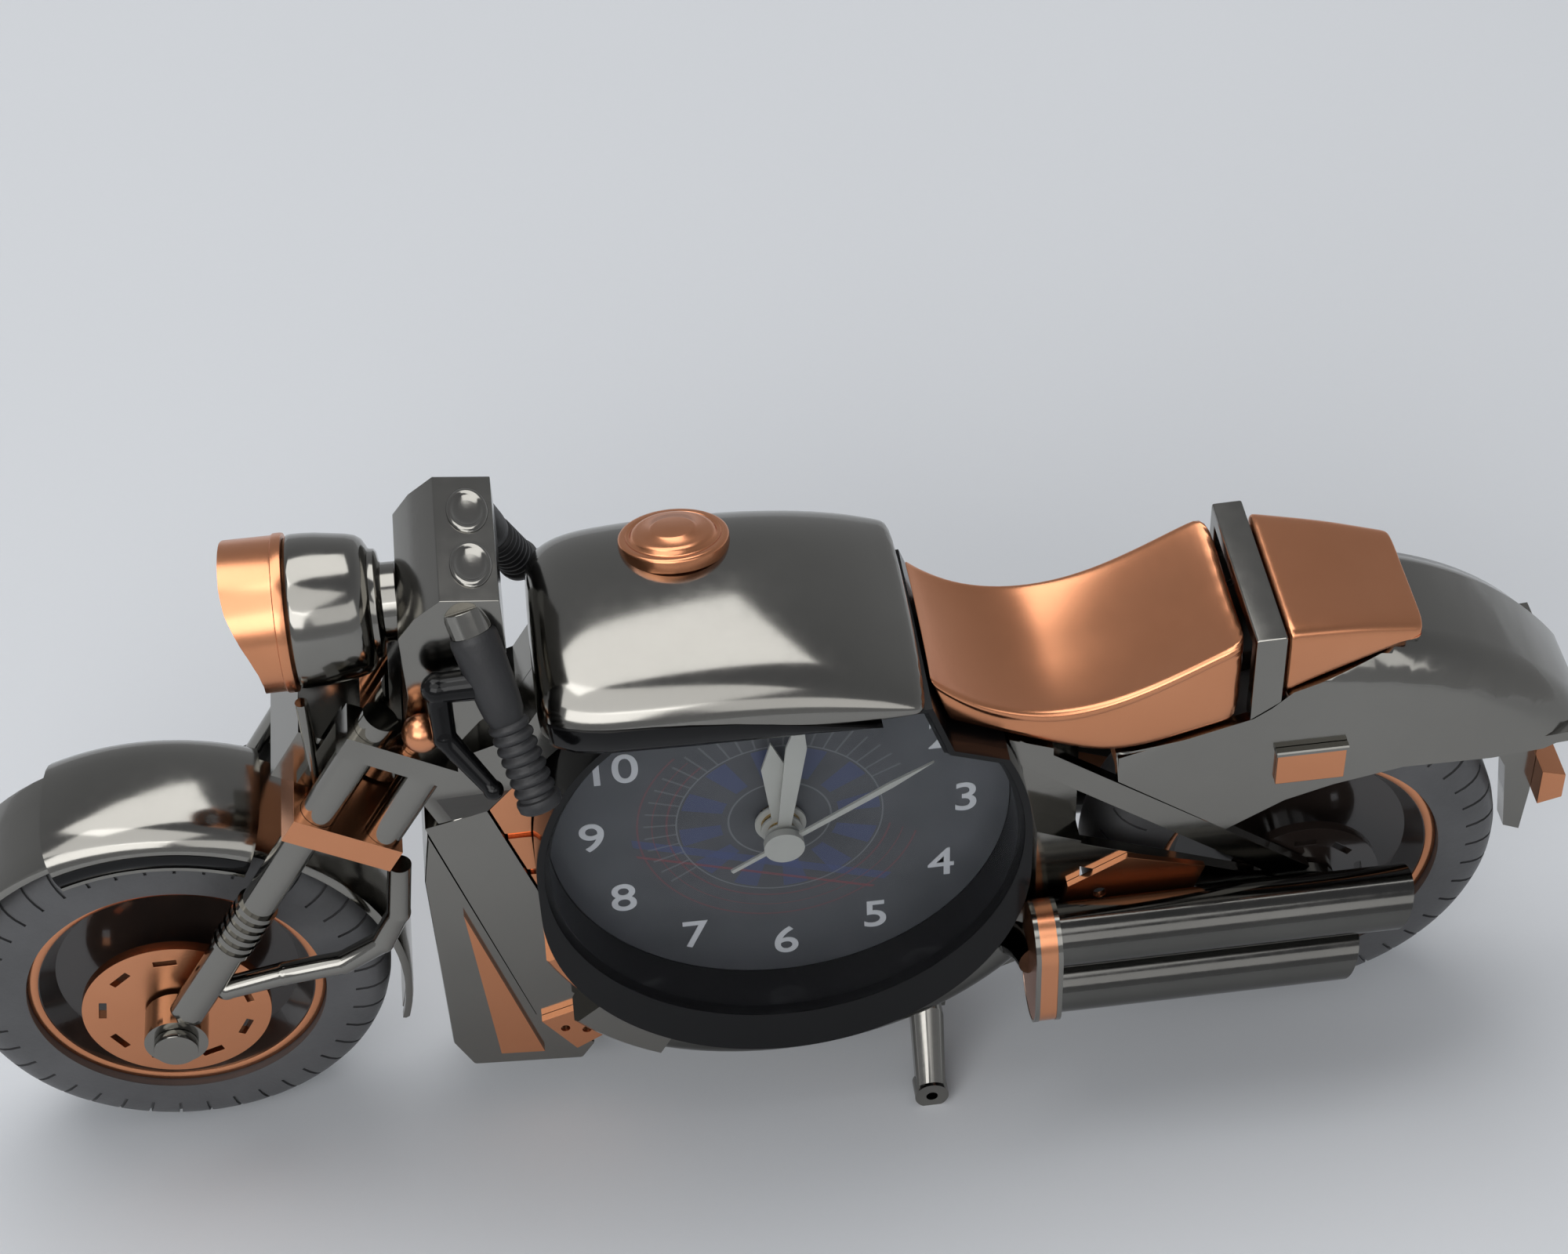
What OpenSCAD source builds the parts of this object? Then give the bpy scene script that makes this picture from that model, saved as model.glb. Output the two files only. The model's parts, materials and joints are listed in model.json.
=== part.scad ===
/* [Wheels] */
// Distance between the two axles
wheelbase = 168; // [167:0.5:169]
// Outer radius of each tyre
tyre_r = 31.5; // [31.2:0.1:31.8]
// Width of each tyre
tyre_w = 15; // [13:0.5:16]
// Radius of the rim under the tyre
rim_r = 21.8; // [21:0.2:22.6]
// Radius of each brake disc
disc_r = 13.7; // [12:0.1:14.5]
// Radius of both axles
axle_r = 1.6; // [1.4:0.1:1.8]

/* [Fork] */
// Rake of the fork from the vertical, in degrees
rake = 32; // [31.5:0.25:32.5]
// Radius of each fork leg
leg_r = 2.6; // [2.3:0.1:2.8]
// Distance of each fork leg from the middle plane
leg_y = 14.2; // [14.1:0.1:14.5]
// Distance of the steering stem behind the fork legs
stem_back = 9; // [8.8:0.1:9.2]
// Radius of the steering stem
stem_r = 2.6; // [2.3:0.1:2.8]

/* [Clock] */
// Distance of the dial centre behind the middle of the wheelbase
dial_x = 6.2; // [6:0.1:6.4]
// Height of the dial centre
dial_z = 57; // [56.8:0.1:57.2]
// Radius of the dial
dial_r = 33.3; // [32.8:0.1:33.3]
// How far the drum reaches below a plain circle
chin_drop = 7; // [6.6:0.1:7.2]
// Length of the minute hand
minute_len = 25; // [22:0.5:26]
// Length of the hour hand
hour_len = 18; // [15:0.5:20]
// Length of the second hand
second_len = 25.5; // [22:0.5:27]
// Length of the alarm hand
alarm_len = 13; // [11:0.5:16]

/* [Bodywork] */
// Half width of the fuel tank
tank_half = 20.6; // [20.3:0.1:21]
// Thickness of the plated shells
shell_t = 1.5; // [1.3:0.1:1.5]
// Half width of the seat at its widest
seat_half = 13.9; // [13:0.1:14]
// Radius of the filler cap
cap_r = 7.8; // [7:0.1:8.2]
// Radius of each muffler
muffler_r = 4.8; // [4.4:0.1:4.8]

/* [Hidden] */
$fn = 64;
$fa = 6;

plated = [0.36, 0.35, 0.34];
copper = [0.80, 0.47, 0.31];
black = [0.06, 0.06, 0.07];
rubber = [0.25, 0.25, 0.26];
pale = [0.86, 0.87, 0.84];
steel = [0.75, 0.76, 0.77];
brass = [0.82, 0.68, 0.35];
green = [0.10, 0.35, 0.18];

// The row's origin is at the middle of the box, a little behind the middle of the wheelbase
front_x = -wheelbase / 2;
rear_x = wheelbase / 2;
tail_x = rear_x + 41;
fender_gap = 1.9;
fender_r = tyre_r + fender_gap;
fender_from = -72;
fender_to = 106;
front_reach = (fender_r + shell_t) * sin(-fender_from);
frame_shift = -(tail_x + front_x - front_reach) / 2;
axle_z = tyre_r;
// Gap between fixed pieces that touch, and running clearance of a shaft in its bore
seat_gap = 0.05;
run_gap = 0.06;

// Wheel sections
hub_y = 9.2;
hub_r = 6;
web_y = 3;
lip_y = 6;
lip_w = 1.8;
dish_w = 4;
disc_t = 1.6;
disc_out = hub_y + seat_gap + disc_t;
tread_steps = 16;

// Fork, measured along the legs from the axle and square to them
leg_len = 70;
lug_r = 4.6;
lug_in = 11.5;
lug_out = leg_y + leg_r + 0.1;
yoke_low = 45.6;
yoke_low_t = 4.2;
yoke_up = 63.6;
yoke_up_t = 3.6;
yoke_half = 17.2;
yoke_front = -3.6;
yoke_back = 12.7;
head_low = yoke_low + yoke_low_t + 0.5;
head_up = yoke_up - 0.6;
head_r = 5.2;

// Front end
lamp_x = front_x + 18;
lamp_z = 98.4;
lamp_r = 10.6;
nacelle_half = 12.5;
bar_root = [front_x + 50.4, 12.4, 103.9];
bar_tip = [front_x + 57.2, 24.5, 80.7];
bar_r = 1.5;

// Frame
frame_half = 9;
arm_in = 11.4;
arm_out = 13.2;
split_gap = 0.05;
drum_r = dial_r + 2;
drum_fit = 0.15;
cradle_t = 4.9;
pivot_x = 27;
pivot_z = 11.5;
pivot_r = 1.8;
screw_r = 1.2;
// Each frame screw has its place in the side view and the depth of the face under its head
frame_screw_spots = [[front_x + 43.5, 66.5, frame_half], [-30.5, 36, frame_half],
                     [rear_x - 36.7, 24.6, arm_out], [rear_x - 38.5, 62, frame_half]];

// Depths of the clock, with the dial side at the left
crystal_y = -17.5;
crystal_t = 1.2;
dial_y = -9.5;
dial_t = 0.5;
web_front = dial_y + dial_t + 0.1;
web_t = 1.6;
split_y = 1;
back_y = 15;
wall_t = 1.7;
roof_z = 86;
roof_t = 1.3;
// Side view of the room left for the drum under the tank and the seat
drum_room = [[dial_x - 60, -10], [dial_x - 60, roof_z], [22, roof_z], [24.7, 84.1], [27.2, 84.1],
             [30.2, 75.3], [dial_x + 60, 61.5], [dial_x + 60, -10]];
plate_y = web_front + web_t + 0.1;
plate_t = 1.3;
cover_y = 5.5;
cover_t = 1.3;
movement_half = 20;
movement_low = -12.5;
movement_high = 24;
battery_v = -21;
battery_y = 4.2;
battery_r = 7.1;
battery_half = 24.2;
contact_room = 1.2;
bay_half = battery_half + contact_room;
buzzer_at = [13, 13];
buzzer_r = 6.8;

// Gear train: teeth, modules and places round the dial centre
cannon_teeth = 12;
minute_teeth = 36;
minute_module = 0.5;
pinion_teeth = 10;
hour_teeth = 40;
hour_module = 0.48;
alarm_teeth = 40;
alarm_pinion_teeth = 12;
alarm_module = 0.5;
seconds_teeth = 50;
step_pinion_teeth = 10;
seconds_module = 0.4;
step_teeth = 48;
rotor_teeth = 8;
step_module = 0.3;
mesh_slack = 0.12;
minute_dist = minute_module * (cannon_teeth + minute_teeth) / 2 + mesh_slack;
alarm_dist = alarm_module * (alarm_teeth + alarm_pinion_teeth) / 2 + mesh_slack;
step_dist = seconds_module * (seconds_teeth + step_pinion_teeth) / 2 + mesh_slack;
rotor_dist = step_module * (step_teeth + rotor_teeth) / 2 + mesh_slack;
rotor_turn = 30;
step_at = [0, step_dist];
rotor_at = step_at + rotor_dist * [cos(rotor_turn), sin(rotor_turn)];
minute_at = [-minute_dist, 0];
alarm_at = [alarm_dist, 0];
arbor_r = 1;
second_r = 0.6;
minute_r = 1.3;
hour_r = 2;
alarm_r = 2.8;
tube_gap = 0.08;
knob_r = 5.2;
knob_front = back_y + 0.5;
knob_t = 5;

// Exhausts
muffler_y = 19.5;
muffler_high = 36;
muffler_low = 25.8;
muffler_front = rear_x - 42.8;
clamp_w = 3.8;
clamp_r = muffler_r + 0.9;

// Shifts a piece from the wheelbase frame to the row's frame
module placed() {
    translate([frame_shift, 0, 0]) children();
}

// Draws a piece on both sides of the middle plane
module both_sides() {
    children();
    mirror([0, 1, 0]) children();
}

// Cylinder across the bike, at one place in the side view
module across(x, z, y0, y1, r) {
    translate([x, y0, z]) rotate([-90, 0, 0]) cylinder(h = y1 - y0, r = r);
}

// Plate with a side-view outline, between two depths
module slab(points, y0, y1) {
    translate([0, y1, 0]) rotate([90, 0, 0]) linear_extrude(y1 - y0) polygon(points);
}

// Round bar between two points, with a radius at each end
module span(p, q, r1, r2) {
    d = q - p;
    turn = atan2(d[1], d[0]);
    lean = acos(d[2] / norm(d));
    translate(p) rotate([0, lean, turn]) cylinder(h = norm(d), r1 = r1, r2 = r2);
}

// Point part of the way from one point to another
function between(p, q, share) = p + (q - p) * share;

// Side-view outline of a straight bar of a given width
function bar_outline(p, q, w) =
    let (d = (q - p) / norm(q - p), n = [-d[1], d[0]] * w / 2)
    [p - n, q - n, q + n, p + n];

// Local frame of the fork: origin at the axle, up along the legs
module on_fork() {
    translate([front_x, 0, axle_z]) rotate([0, rake, 0]) children();
}

// Ring section turned about a wheel axle, from one angle to another, measured from the top
module turned_band(x, points, from, to) {
    translate([x, 0, axle_z]) rotate([-90, 0, 0]) rotate([0, 0, from - 90])
        rotate_extrude(angle = to - from) polygon(points);
}

// Wheels

function tyre_point(a) = let (c = cos(a), s = sin(a))
    [rim_r + (tyre_r - rim_r) * pow(s, 0.5), -sign(c) * pow(abs(c), 0.6) * tyre_w / 2];

module tyre(x) {
    points = [for (i = [0 : tread_steps]) tyre_point(180 * i / tread_steps)];
    translate([x, 0, axle_z]) rotate([-90, 0, 0]) rotate_extrude() polygon(points);
}

function rim_half() = [
    [axle_r + run_gap, hub_y], [hub_r, hub_y], [hub_r, web_y], [rim_r - dish_w, web_y],
    [rim_r - lip_w, lip_y], [rim_r - seat_gap, lip_y]];

module rim(x) {
    half = rim_half();
    mirrored = [for (i = [len(half) - 1 : -1 : 0]) [half[i][0], -half[i][1]]];
    translate([x, 0, axle_z]) rotate([-90, 0, 0]) rotate_extrude() polygon(concat(half, mirrored));
}

module discs(x, r) {
    slot = [3.4, 4 * disc_t, 1.1];
    slot_r = r - 3;
    slots = 9;
    both_sides() difference() {
        across(x, axle_z, hub_y + seat_gap, disc_out, r);
        across(x, axle_z, hub_y, disc_out + 1, axle_r + run_gap);
        for (i = [0 : slots - 1])
            translate([x, hub_y + disc_t / 2, axle_z]) rotate([0, 360 * i / slots, 0])
                translate([0, 0, slot_r]) cube(slot, center = true);
    }
}

module front_tyre() {
    color(rubber) placed() tyre(front_x);
}

module front_rim() {
    color(black) placed() rim(front_x);
}

module front_discs() {
    color(copper) placed() discs(front_x, disc_r);
}

module rear_tyre() {
    color(rubber) placed() tyre(rear_x);
}

module rear_rim() {
    color(black) placed() rim(rear_x);
}

module rear_discs() {
    color(black) placed() discs(rear_x, disc_r - 2);
}

module front_axle() {
    head_t = 1.5;
    head_in = lug_out + seat_gap;
    color(steel) placed() {
        across(front_x, axle_z, -head_in, head_in, axle_r);
        both_sides() across(front_x, axle_z, head_in, head_in + head_t, 2 * axle_r);
    }
}

module rear_axle() {
    color(steel) placed() across(rear_x, axle_z, -arm_out, arm_out, axle_r);
}

// Fork, headlight and handlebar

module fork_legs() {
    rib_start = 20;
    rib_step = 1.7;
    rib_t = 0.9;
    ribs = 6;
    brace_r = 1.7;
    knuckle = 0.08;
    brace = [[-47.9, leg_y, 61.5], [-49.2, leg_y, 51.5], [-52.2, leg_y, 45.6], [-58.2, leg_y, 42],
             [-67, leg_y, 41], [-75.5, leg_y, 39.3]];
    color(plated) placed() both_sides() {
        on_fork() difference() {
            union() {
                translate([0, leg_y, 0]) cylinder(h = leg_len, r = leg_r);
                across(0, 0, lug_in, lug_out, lug_r);
                for (i = [0 : ribs - 1])
                    translate([0, leg_y, rib_start + rib_step * i]) cylinder(h = rib_t, r = leg_r + 0.45);
            }
            across(0, 0, lug_in - 1, lug_out + 1, axle_r + seat_gap);
        }
        for (i = [0 : len(brace) - 2]) {
            span(brace[i], brace[i + 1], brace_r, brace_r);
            translate(brace[i + 1]) sphere(brace_r + knuckle);
        }
    }
}

module lower_yoke() {
    color(copper) placed() on_fork() {
        difference() {
            translate([yoke_front, -yoke_half, yoke_low])
                cube([yoke_back - yoke_front, 2 * yoke_half, yoke_low_t]);
            both_sides() translate([0, leg_y, yoke_low - 1])
                cylinder(h = yoke_low_t + 2, r = leg_r + seat_gap);
        }
        translate([stem_back, 0, yoke_low]) cylinder(h = yoke_up + yoke_up_t - yoke_low, r = stem_r);
    }
}

module upper_yoke() {
    cheek = leg_y - leg_r - 1.2;
    bridge = 4.6;
    shroud_half = 9.8;
    shroud_front = -7;
    shroud_back = 2.4;
    shroud_low = yoke_low + yoke_low_t + seat_gap;
    shroud_high = 59;
    ear_t = 1.5;
    cover_x = 9.8;
    cover_r = 2.7;
    rod_r = 0.9;
    rod_x = front_x + 26.6;
    rod_y = 10.2;
    rod_low = 75;
    rod_high = 91.2;
    outline = [[yoke_front, cheek], [bridge, cheek], [bridge, -cheek], [yoke_front, -cheek],
               [yoke_front, -yoke_half], [yoke_back, -yoke_half], [yoke_back, yoke_half],
               [yoke_front, yoke_half]];
    color(plated) placed() {
        on_fork() {
            difference() {
                translate([0, 0, yoke_up]) linear_extrude(yoke_up_t) polygon(outline);
                both_sides() translate([0, leg_y, yoke_up - 1])
                    cylinder(h = yoke_up_t + 2, r = leg_r + seat_gap);
                translate([stem_back, 0, yoke_up - 1]) cylinder(h = yoke_up_t + 2, r = stem_r + seat_gap);
            }
            translate([shroud_front, -shroud_half, shroud_low])
                cube([shroud_back - shroud_front, 2 * shroud_half, shroud_high - shroud_low]);
            both_sides() translate([yoke_front, cheek + 0.5 - ear_t, shroud_low + 1])
                cube([shroud_back - yoke_front, ear_t, yoke_up + 1 - shroud_low]);
            both_sides() translate([cover_x, leg_y, shroud_low]) cylinder(h = yoke_up + 1 - shroud_low,
                r = cover_r);
        }
        both_sides() translate([rod_x, rod_y, rod_low]) cylinder(h = rod_high - rod_low, r = rod_r);
    }
}

module front_fender() {
    band_half = 9.4;
    cap_half = 11;
    cap_top = fender_r + 4.4;
    cap_edge = fender_r - 2.4;
    stay_at = fender_r + 1.2;
    band = [[fender_r, -band_half], [fender_r + shell_t, -band_half], [fender_r + shell_t, band_half],
            [fender_r, band_half]];
    cap_outer = [[cap_edge, cap_half], [cap_edge + 3, cap_half], [cap_top - 0.6, cap_half - 3],
                 [cap_top, cap_half - 6]];
    cap_inner = [[cap_top - shell_t, cap_half - 6], [cap_top - 0.6 - shell_t, cap_half - 3.6],
                 [cap_edge + 2.4, cap_half - shell_t], [cap_edge, cap_half - shell_t]];
    cap_left = [for (i = [len(cap_outer) - 1 : -1 : 0]) [cap_outer[i][0], -cap_outer[i][1]]];
    hollow_left = [for (i = [len(cap_inner) - 1 : -1 : 0]) [cap_inner[i][0], -cap_inner[i][1]]];
    plate_low = fender_r + 0.4;
    plate_up = cap_top - 1;
    plate = [[plate_low, -band_half], [plate_up, 3 - cap_half], [plate_up, cap_half - 3],
             [plate_low, band_half]];
    color(plated) placed() {
        turned_band(front_x, band, fender_from, fender_to);
        turned_band(front_x, concat(cap_outer, cap_left, hollow_left, cap_inner), -21, 27);
        for (side = [-20, 24]) turned_band(front_x, plate, side, side + 2);
        both_sides() on_fork() across(0, stay_at, band_half - 0.5, leg_y - leg_r - seat_gap, 1.8);
    }
}

module headlight_bucket() {
    neck_r = 5.4;
    profile = [[0, 0], [lamp_r - 0.6, 0], [lamp_r - 0.6, 2], [lamp_r - 0.1, 2.4], [lamp_r - 0.1, 4.5],
               [lamp_r - 0.6, 8], [9.6, 11.5], [7.4, 13], [7.4, 14], [neck_r, 14.4], [neck_r, 16.4],
               [0, 16.4]];
    front = lamp_x + 6.4;
    color(plated) placed() translate([front, 0, lamp_z]) rotate([0, 90, 0])
        rotate_extrude() polygon(profile);
}

module headlight_bezel() {
    back = lamp_x + 8.35;
    ring_t = 1.4;
    peak = 4.6;
    color(copper) placed() difference() {
        translate([lamp_x, 0, lamp_z]) rotate([0, 90, 0]) cylinder(h = back - lamp_x, r = lamp_r);
        translate([lamp_x - 1, 0, lamp_z]) rotate([0, 90, 0])
            cylinder(h = back - lamp_x + 2, r = lamp_r - 0.6 + seat_gap);
        slab([[lamp_x - 1, lamp_z + lamp_r - 3], [lamp_x + 0.2, lamp_z + lamp_r - 3],
              [lamp_x + peak, lamp_z + 2], [lamp_x + peak - 1, lamp_z - lamp_r - 1],
              [lamp_x - 1, lamp_z - lamp_r - 1]], -2 * lamp_r, 2 * lamp_r);
    }
    color(copper) placed() translate([back - ring_t, 0, lamp_z]) rotate([0, 90, 0]) difference() {
        cylinder(h = ring_t, r = lamp_r + 0.25);
        translate([0, 0, -1]) cylinder(h = ring_t + 2, r = lamp_r - 0.3);
    }
}

module headlight_lens() {
    lens_t = 1.4;
    lens_back = lamp_x + 6.4 - seat_gap;
    lens_r = lamp_r - 0.8;
    steps = 6;
    dome = [for (i = [0 : steps]) [lens_r * (1 - i / steps), lens_t * (2 - pow(1 - i / steps, 2))]];
    color(pale) placed() translate([lens_back, 0, lamp_z]) rotate([0, -90, 0])
        rotate_extrude() polygon(concat([[0, 0], [lens_r, 0]], dome));
}

module nacelle() {
    outline = [[43.4, 106.3], [47, 109], [54.8, 108], [54.8, 98.5], [53.4, 96.5], [53.4, 88.5], [50, 86.2],
               [46.4, 82], [39.7, 86.3], [40.9, 92], [40.9, 103]];
    stub_end = between(bar_root, bar_tip, 0.94);
    collar_end = between(bar_root, bar_tip, 0.17);
    color(plated) placed() {
        translate([front_x, 0, 0]) slab(outline, -nacelle_half, nacelle_half);
        both_sides() {
            span(between(bar_root, bar_tip, -0.1), stub_end, bar_r, bar_r);
            span(between(bar_root, bar_tip, -0.1), collar_end, bar_r + 1.3, bar_r + 1.3);
        }
    }
}

module grips() {
    rings = 6;
    first = 0.41;
    last = 0.93;
    color(black) placed() both_sides() difference() {
        union() {
            span(between(bar_root, bar_tip, first), between(bar_root, bar_tip, last), 2.9, 2.4);
            for (i = [0 : rings - 1]) {
                at = 0.52 + 0.065 * i;
                span(between(bar_root, bar_tip, at), between(bar_root, bar_tip, at + 0.03), 2.9, 2.9);
            }
            span(between(bar_root, bar_tip, last), between(bar_root, bar_tip, 1), 3.1, 2.8);
        }
        span(between(bar_root, bar_tip, 0.1), between(bar_root, bar_tip, 0.95), bar_r + seat_gap,
            bar_r + seat_gap);
    }
}

module levers() {
    pivot = [front_x + 45.2, 15.6, 96.3];
    knee = [front_x + 45.4, 18.4, 89.8];
    tip = [front_x + 51, 22.6, 83.2];
    color(black) placed() both_sides() difference() {
        union() {
            span(between(bar_root, bar_tip, 0.24), between(bar_root, bar_tip, 0.39), 2.9, 2.9);
            span(between(bar_root, bar_tip, 0.3), pivot, 2.3, 2);
            translate(pivot) sphere(2.2);
            span(pivot, knee, 1.8, 1.6);
            translate(knee) sphere(1.7);
            span(knee, tip, 1.6, 1.2);
            translate(tip) sphere(1.4);
        }
        span(between(bar_root, bar_tip, 0.05), between(bar_root, bar_tip, 0.5), bar_r + seat_gap,
            bar_r + seat_gap);
    }
}

module turn_lamps() {
    lamp = [5.8, 15.4, yoke_up + yoke_up_t + 3.2];
    ball_r = 2.7;
    color(copper) placed() on_fork() both_sides() {
        translate(lamp) sphere(ball_r);
        translate([lamp[0], lamp[1], yoke_up + yoke_up_t + seat_gap]) cylinder(h = 2, r = 1.2);
    }
}

// Frame

module steering_head() {
    color(plated) placed() on_fork() translate([stem_back, 0, head_low]) difference() {
        cylinder(h = head_up - head_low, r = head_r);
        translate([0, 0, -1]) cylinder(h = head_up - head_low + 2, r = stem_r + run_gap);
    }
}

// Outline of the drum, a circle drawn downwards, between two depths
module drum_shape(r, y0, y1) {
    across(dial_x, dial_z, y0, y1, r);
    across(dial_x, dial_z - chin_drop, y0, y1, r);
    translate([dial_x - r, y0, dial_z - chin_drop]) cube([2 * r, y1 - y0, chin_drop]);
}

downtube = [[front_x + 40, 62.4], [front_x + 49, 64.6], [-22, 23], [-31.6, 17.2]];

module frame_half_shape() {
    neck = [[front_x + 42, 63.2], [front_x + 39.5, 69.5], [front_x + 37, 73], [front_x + 40.4, 78.4],
            [front_x + 44, 76.6], [front_x + 48, 76.6], [-29, 79], [-26, 83.8], [-24.2, 83.8],
            [-24.2, roof_z], [-21.5, roof_z], [-21.5, 78], [front_x + 54, 70], [front_x + 49, 64.6]];
    block_end = rear_x - 34.5;
    outer_end = rear_x - 41;
    rear_block = [[38.5, 71.9], [block_end, 67.4], [block_end, 22], [35, 16], [28, 16], [30, 40], [36, 60]];
    outer_block = [[outer_end, 52], [block_end, 49], [block_end, 22], [outer_end, 22]];
    rail_root = [[38.6, 71.8], [45, 69.1], [45, 65.5], [39.4, 68.5]];
    bracket = [[pivot_x - 3.4, 8.6], [pivot_x + 3.4, 8.6], [pivot_x + 4.6, 20], [pivot_x - 4.6, 20]];
    axle_boss = 5;
    arm_w = 4.6;
    rail_w = 4;
    difference() {
        union() {
            slab(neck, -frame_half, -split_gap);
            slab(downtube, -frame_half, -split_gap);
            slab(rear_block, -frame_half, -split_gap);
            slab(outer_block, -arm_out, -split_gap);
            slab(rail_root, -arm_out, -split_gap);
            slab(bracket, -8, -4);
            intersection() {
                drum_shape(drum_r + cradle_t, -frame_half, -split_gap);
                slab([[-33, 0], [50, 0], [50, 24], [-30, 24]], -frame_half, -split_gap);
            }
            slab(bar_outline([rear_x - 38, 47.4], [rear_x, axle_z], arm_w), -arm_out, -arm_in);
            slab(bar_outline([39, 69.8], [rear_x - 1, axle_z + 4.5], rail_w), -arm_out, -arm_in);
            across(rear_x, axle_z, -arm_out, -arm_in, axle_boss);
        }
        drum_shape(drum_r + drum_fit, -2 * frame_half, 0);
        across(pivot_x, pivot_z, -frame_half, 0, pivot_r + run_gap);
        across(rear_x, axle_z, -2 * frame_half, 0, axle_r + seat_gap);
        on_fork() translate([stem_back, 0, head_low - 3]) cylinder(h = head_up - head_low + 6,
            r = head_r + seat_gap);
        for (spot = frame_screw_spots) across(spot[0], spot[1], -6, 1, screw_r + seat_gap);
    }
}

module frame_left() {
    color(plated) placed() frame_half_shape();
}

module frame_right() {
    color(plated) placed() difference() {
        mirror([0, 1, 0]) frame_half_shape();
        for (spot = frame_screw_spots) across(spot[0], spot[1], -1, 2 * arm_out, screw_r + seat_gap);
    }
}

case_screw_spots = [[-27, 9], [27, 9]];

module screws() {
    head_r = 2.1;
    head_t = 1.3;
    color(steel) placed() {
        for (spot = frame_screw_spots) {
            face = spot[2] + seat_gap;
            across(spot[0], spot[1], -5.5, face, screw_r);
            across(spot[0], spot[1], face, face + head_t, head_r);
        }
        for (spot = case_screw_spots) {
            across(dial_x + spot[0], dial_z + spot[1], -5, back_y + seat_gap, screw_r);
            across(dial_x + spot[0], dial_z + spot[1], back_y + seat_gap, back_y + seat_gap + head_t,
                head_r);
        }
    }
}

module front_cowl() {
    cowl_half = 8;
    outline = [[front_x + 38.6, 50], [front_x + 38.8, 13], [front_x + 41.4, 7.4], [-26, 6], [-23.8, 9.4],
               [-31.9, 16.9], [front_x + 40.1, 60]];
    color(plated) placed() difference() {
        slab(outline, -cowl_half, cowl_half);
        drum_shape(drum_r + cradle_t + 0.2, -frame_half, frame_half);
    }
}

module engine_block() {
    block_half = 8.6;
    outline = [[front_x + 49.3, 64.4], [front_x + 54, 69.6], [-16, 69], [-16, 24.4], [-22.2, 24.4]];
    fins = 4;
    color(copper) placed() difference() {
        slab(outline, -block_half, block_half);
        drum_shape(drum_r + drum_fit, -frame_half, frame_half);
        both_sides() for (i = [0 : fins - 1])
            translate([-40, block_half - 0.8, 34 + 8 * i]) cube([30, 2, 1.1]);
    }
}

module copper_trim() {
    inlay_t = 0.8;
    gusset_t = 1.2;
    plate_t = 1;
    inlay = [[front_x + 43.4, 43], [front_x + 45.8, 10.4], [front_x + 52.4, 9.8]];
    gusset = [[-31.4, 18.6], [-25.6, 20.6], [-21.6, 14.4], [-26.6, 11.4]];
    plate = [[-37.4, 33], [-36.4, 40.4], [-27.6, 45.4], [-16, 41.6], [-18.6, 33.6]];
    cowl_face = 8;
    color(copper) placed() both_sides() {
        slab(inlay, cowl_face + seat_gap, cowl_face + seat_gap + inlay_t);
        difference() {
            slab(gusset, frame_half + seat_gap, frame_half + seat_gap + gusset_t);
            for (spot = [[-28, 16.4], [-24.8, 15.6]]) across(spot[0], spot[1], frame_half - 1,
                frame_half + 3, 0.7);
        }
        difference() {
            translate([rear_x, 0, 0]) slab(plate, arm_out + seat_gap, arm_out + seat_gap + plate_t);
            across(rear_x - 31.6, 38.4, arm_out - 1, arm_out + 3, 1);
        }
        difference() {
            union() {
                for (z = [muffler_low, muffler_high])
                    translate([muffler_front, muffler_y, z]) rotate([0, 90, 0])
                        cylinder(h = clamp_w, r = clamp_r);
                translate([muffler_front, muffler_y - clamp_r, muffler_low])
                    cube([clamp_w, 2 * clamp_r, muffler_high - muffler_low]);
                translate([muffler_front + 1.8, arm_out + seat_gap, muffler_low])
                    cube([clamp_w - 1.8, muffler_y - arm_out, muffler_high - muffler_low]);
            }
            for (z = [muffler_low, muffler_high])
                translate([muffler_front + 0.8, muffler_y, z]) rotate([0, 90, 0])
                    cylinder(h = clamp_w, r = muffler_r + seat_gap);
        }
    }
}

// Tank, seat and tail

// Cross section of the tank at one station, as a thin slice, let down below the tank's edge by a drop
module tank_slice(x, half, high, drop) {
    rise = high - tank_low;
    section = [[half, -drop], [half, rise * 0.1], [half * 0.97, rise * 0.36], [half * 0.88, rise * 0.62],
               [half * 0.7, rise * 0.84], [half * 0.45, rise * 0.96], [0, rise]];
    mirrored = [for (i = [len(section) - 2 : -1 : 0]) [-section[i][0], section[i][1]]];
    slice_t = 0.1;
    translate([x, 0, tank_low]) rotate([90, 0, 90]) linear_extrude(slice_t)
        polygon(concat(section, mirrored));
}

tank_low = 84.5;

module tank_body(inset, drop) {
    nose = front_x + 57.6;
    stations = [[nose, 14.5, 91.6], [nose + 1.8, 17.8, 93.8], [nose + 7.4, tank_half - 0.4, 95.4],
                [-6, tank_half, 96], [8, tank_half, 95.2], [18, tank_half - 0.2, 92.4],
                [26.6, tank_half - 1.6, 88]];
    hull() for (s = stations)
        tank_slice(s[0] + (s[0] > 0 ? -inset : inset), s[1] - inset, s[2] - inset, drop);
}

module fuel_tank() {
    rib_t = 2;
    color(plated) placed() {
        difference() {
            tank_body(0, 0);
            tank_body(shell_t, 3);
            translate(cap_at) rotate([cap_tilt, 0, 0]) translate([0, 0, -seat_gap])
                cylinder(h = 6, r = cap_r + seat_gap);
        }
        translate([front_x + 60.2, -8, roof_z + seat_gap]) cube([rib_t, 16, 7.2]);
        translate([18, -9, roof_z + seat_gap]) cube([rib_t, 18, 4.5]);
    }
}

cap_at = [-5, 9.6, 94.6];
cap_tilt = -14;

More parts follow.
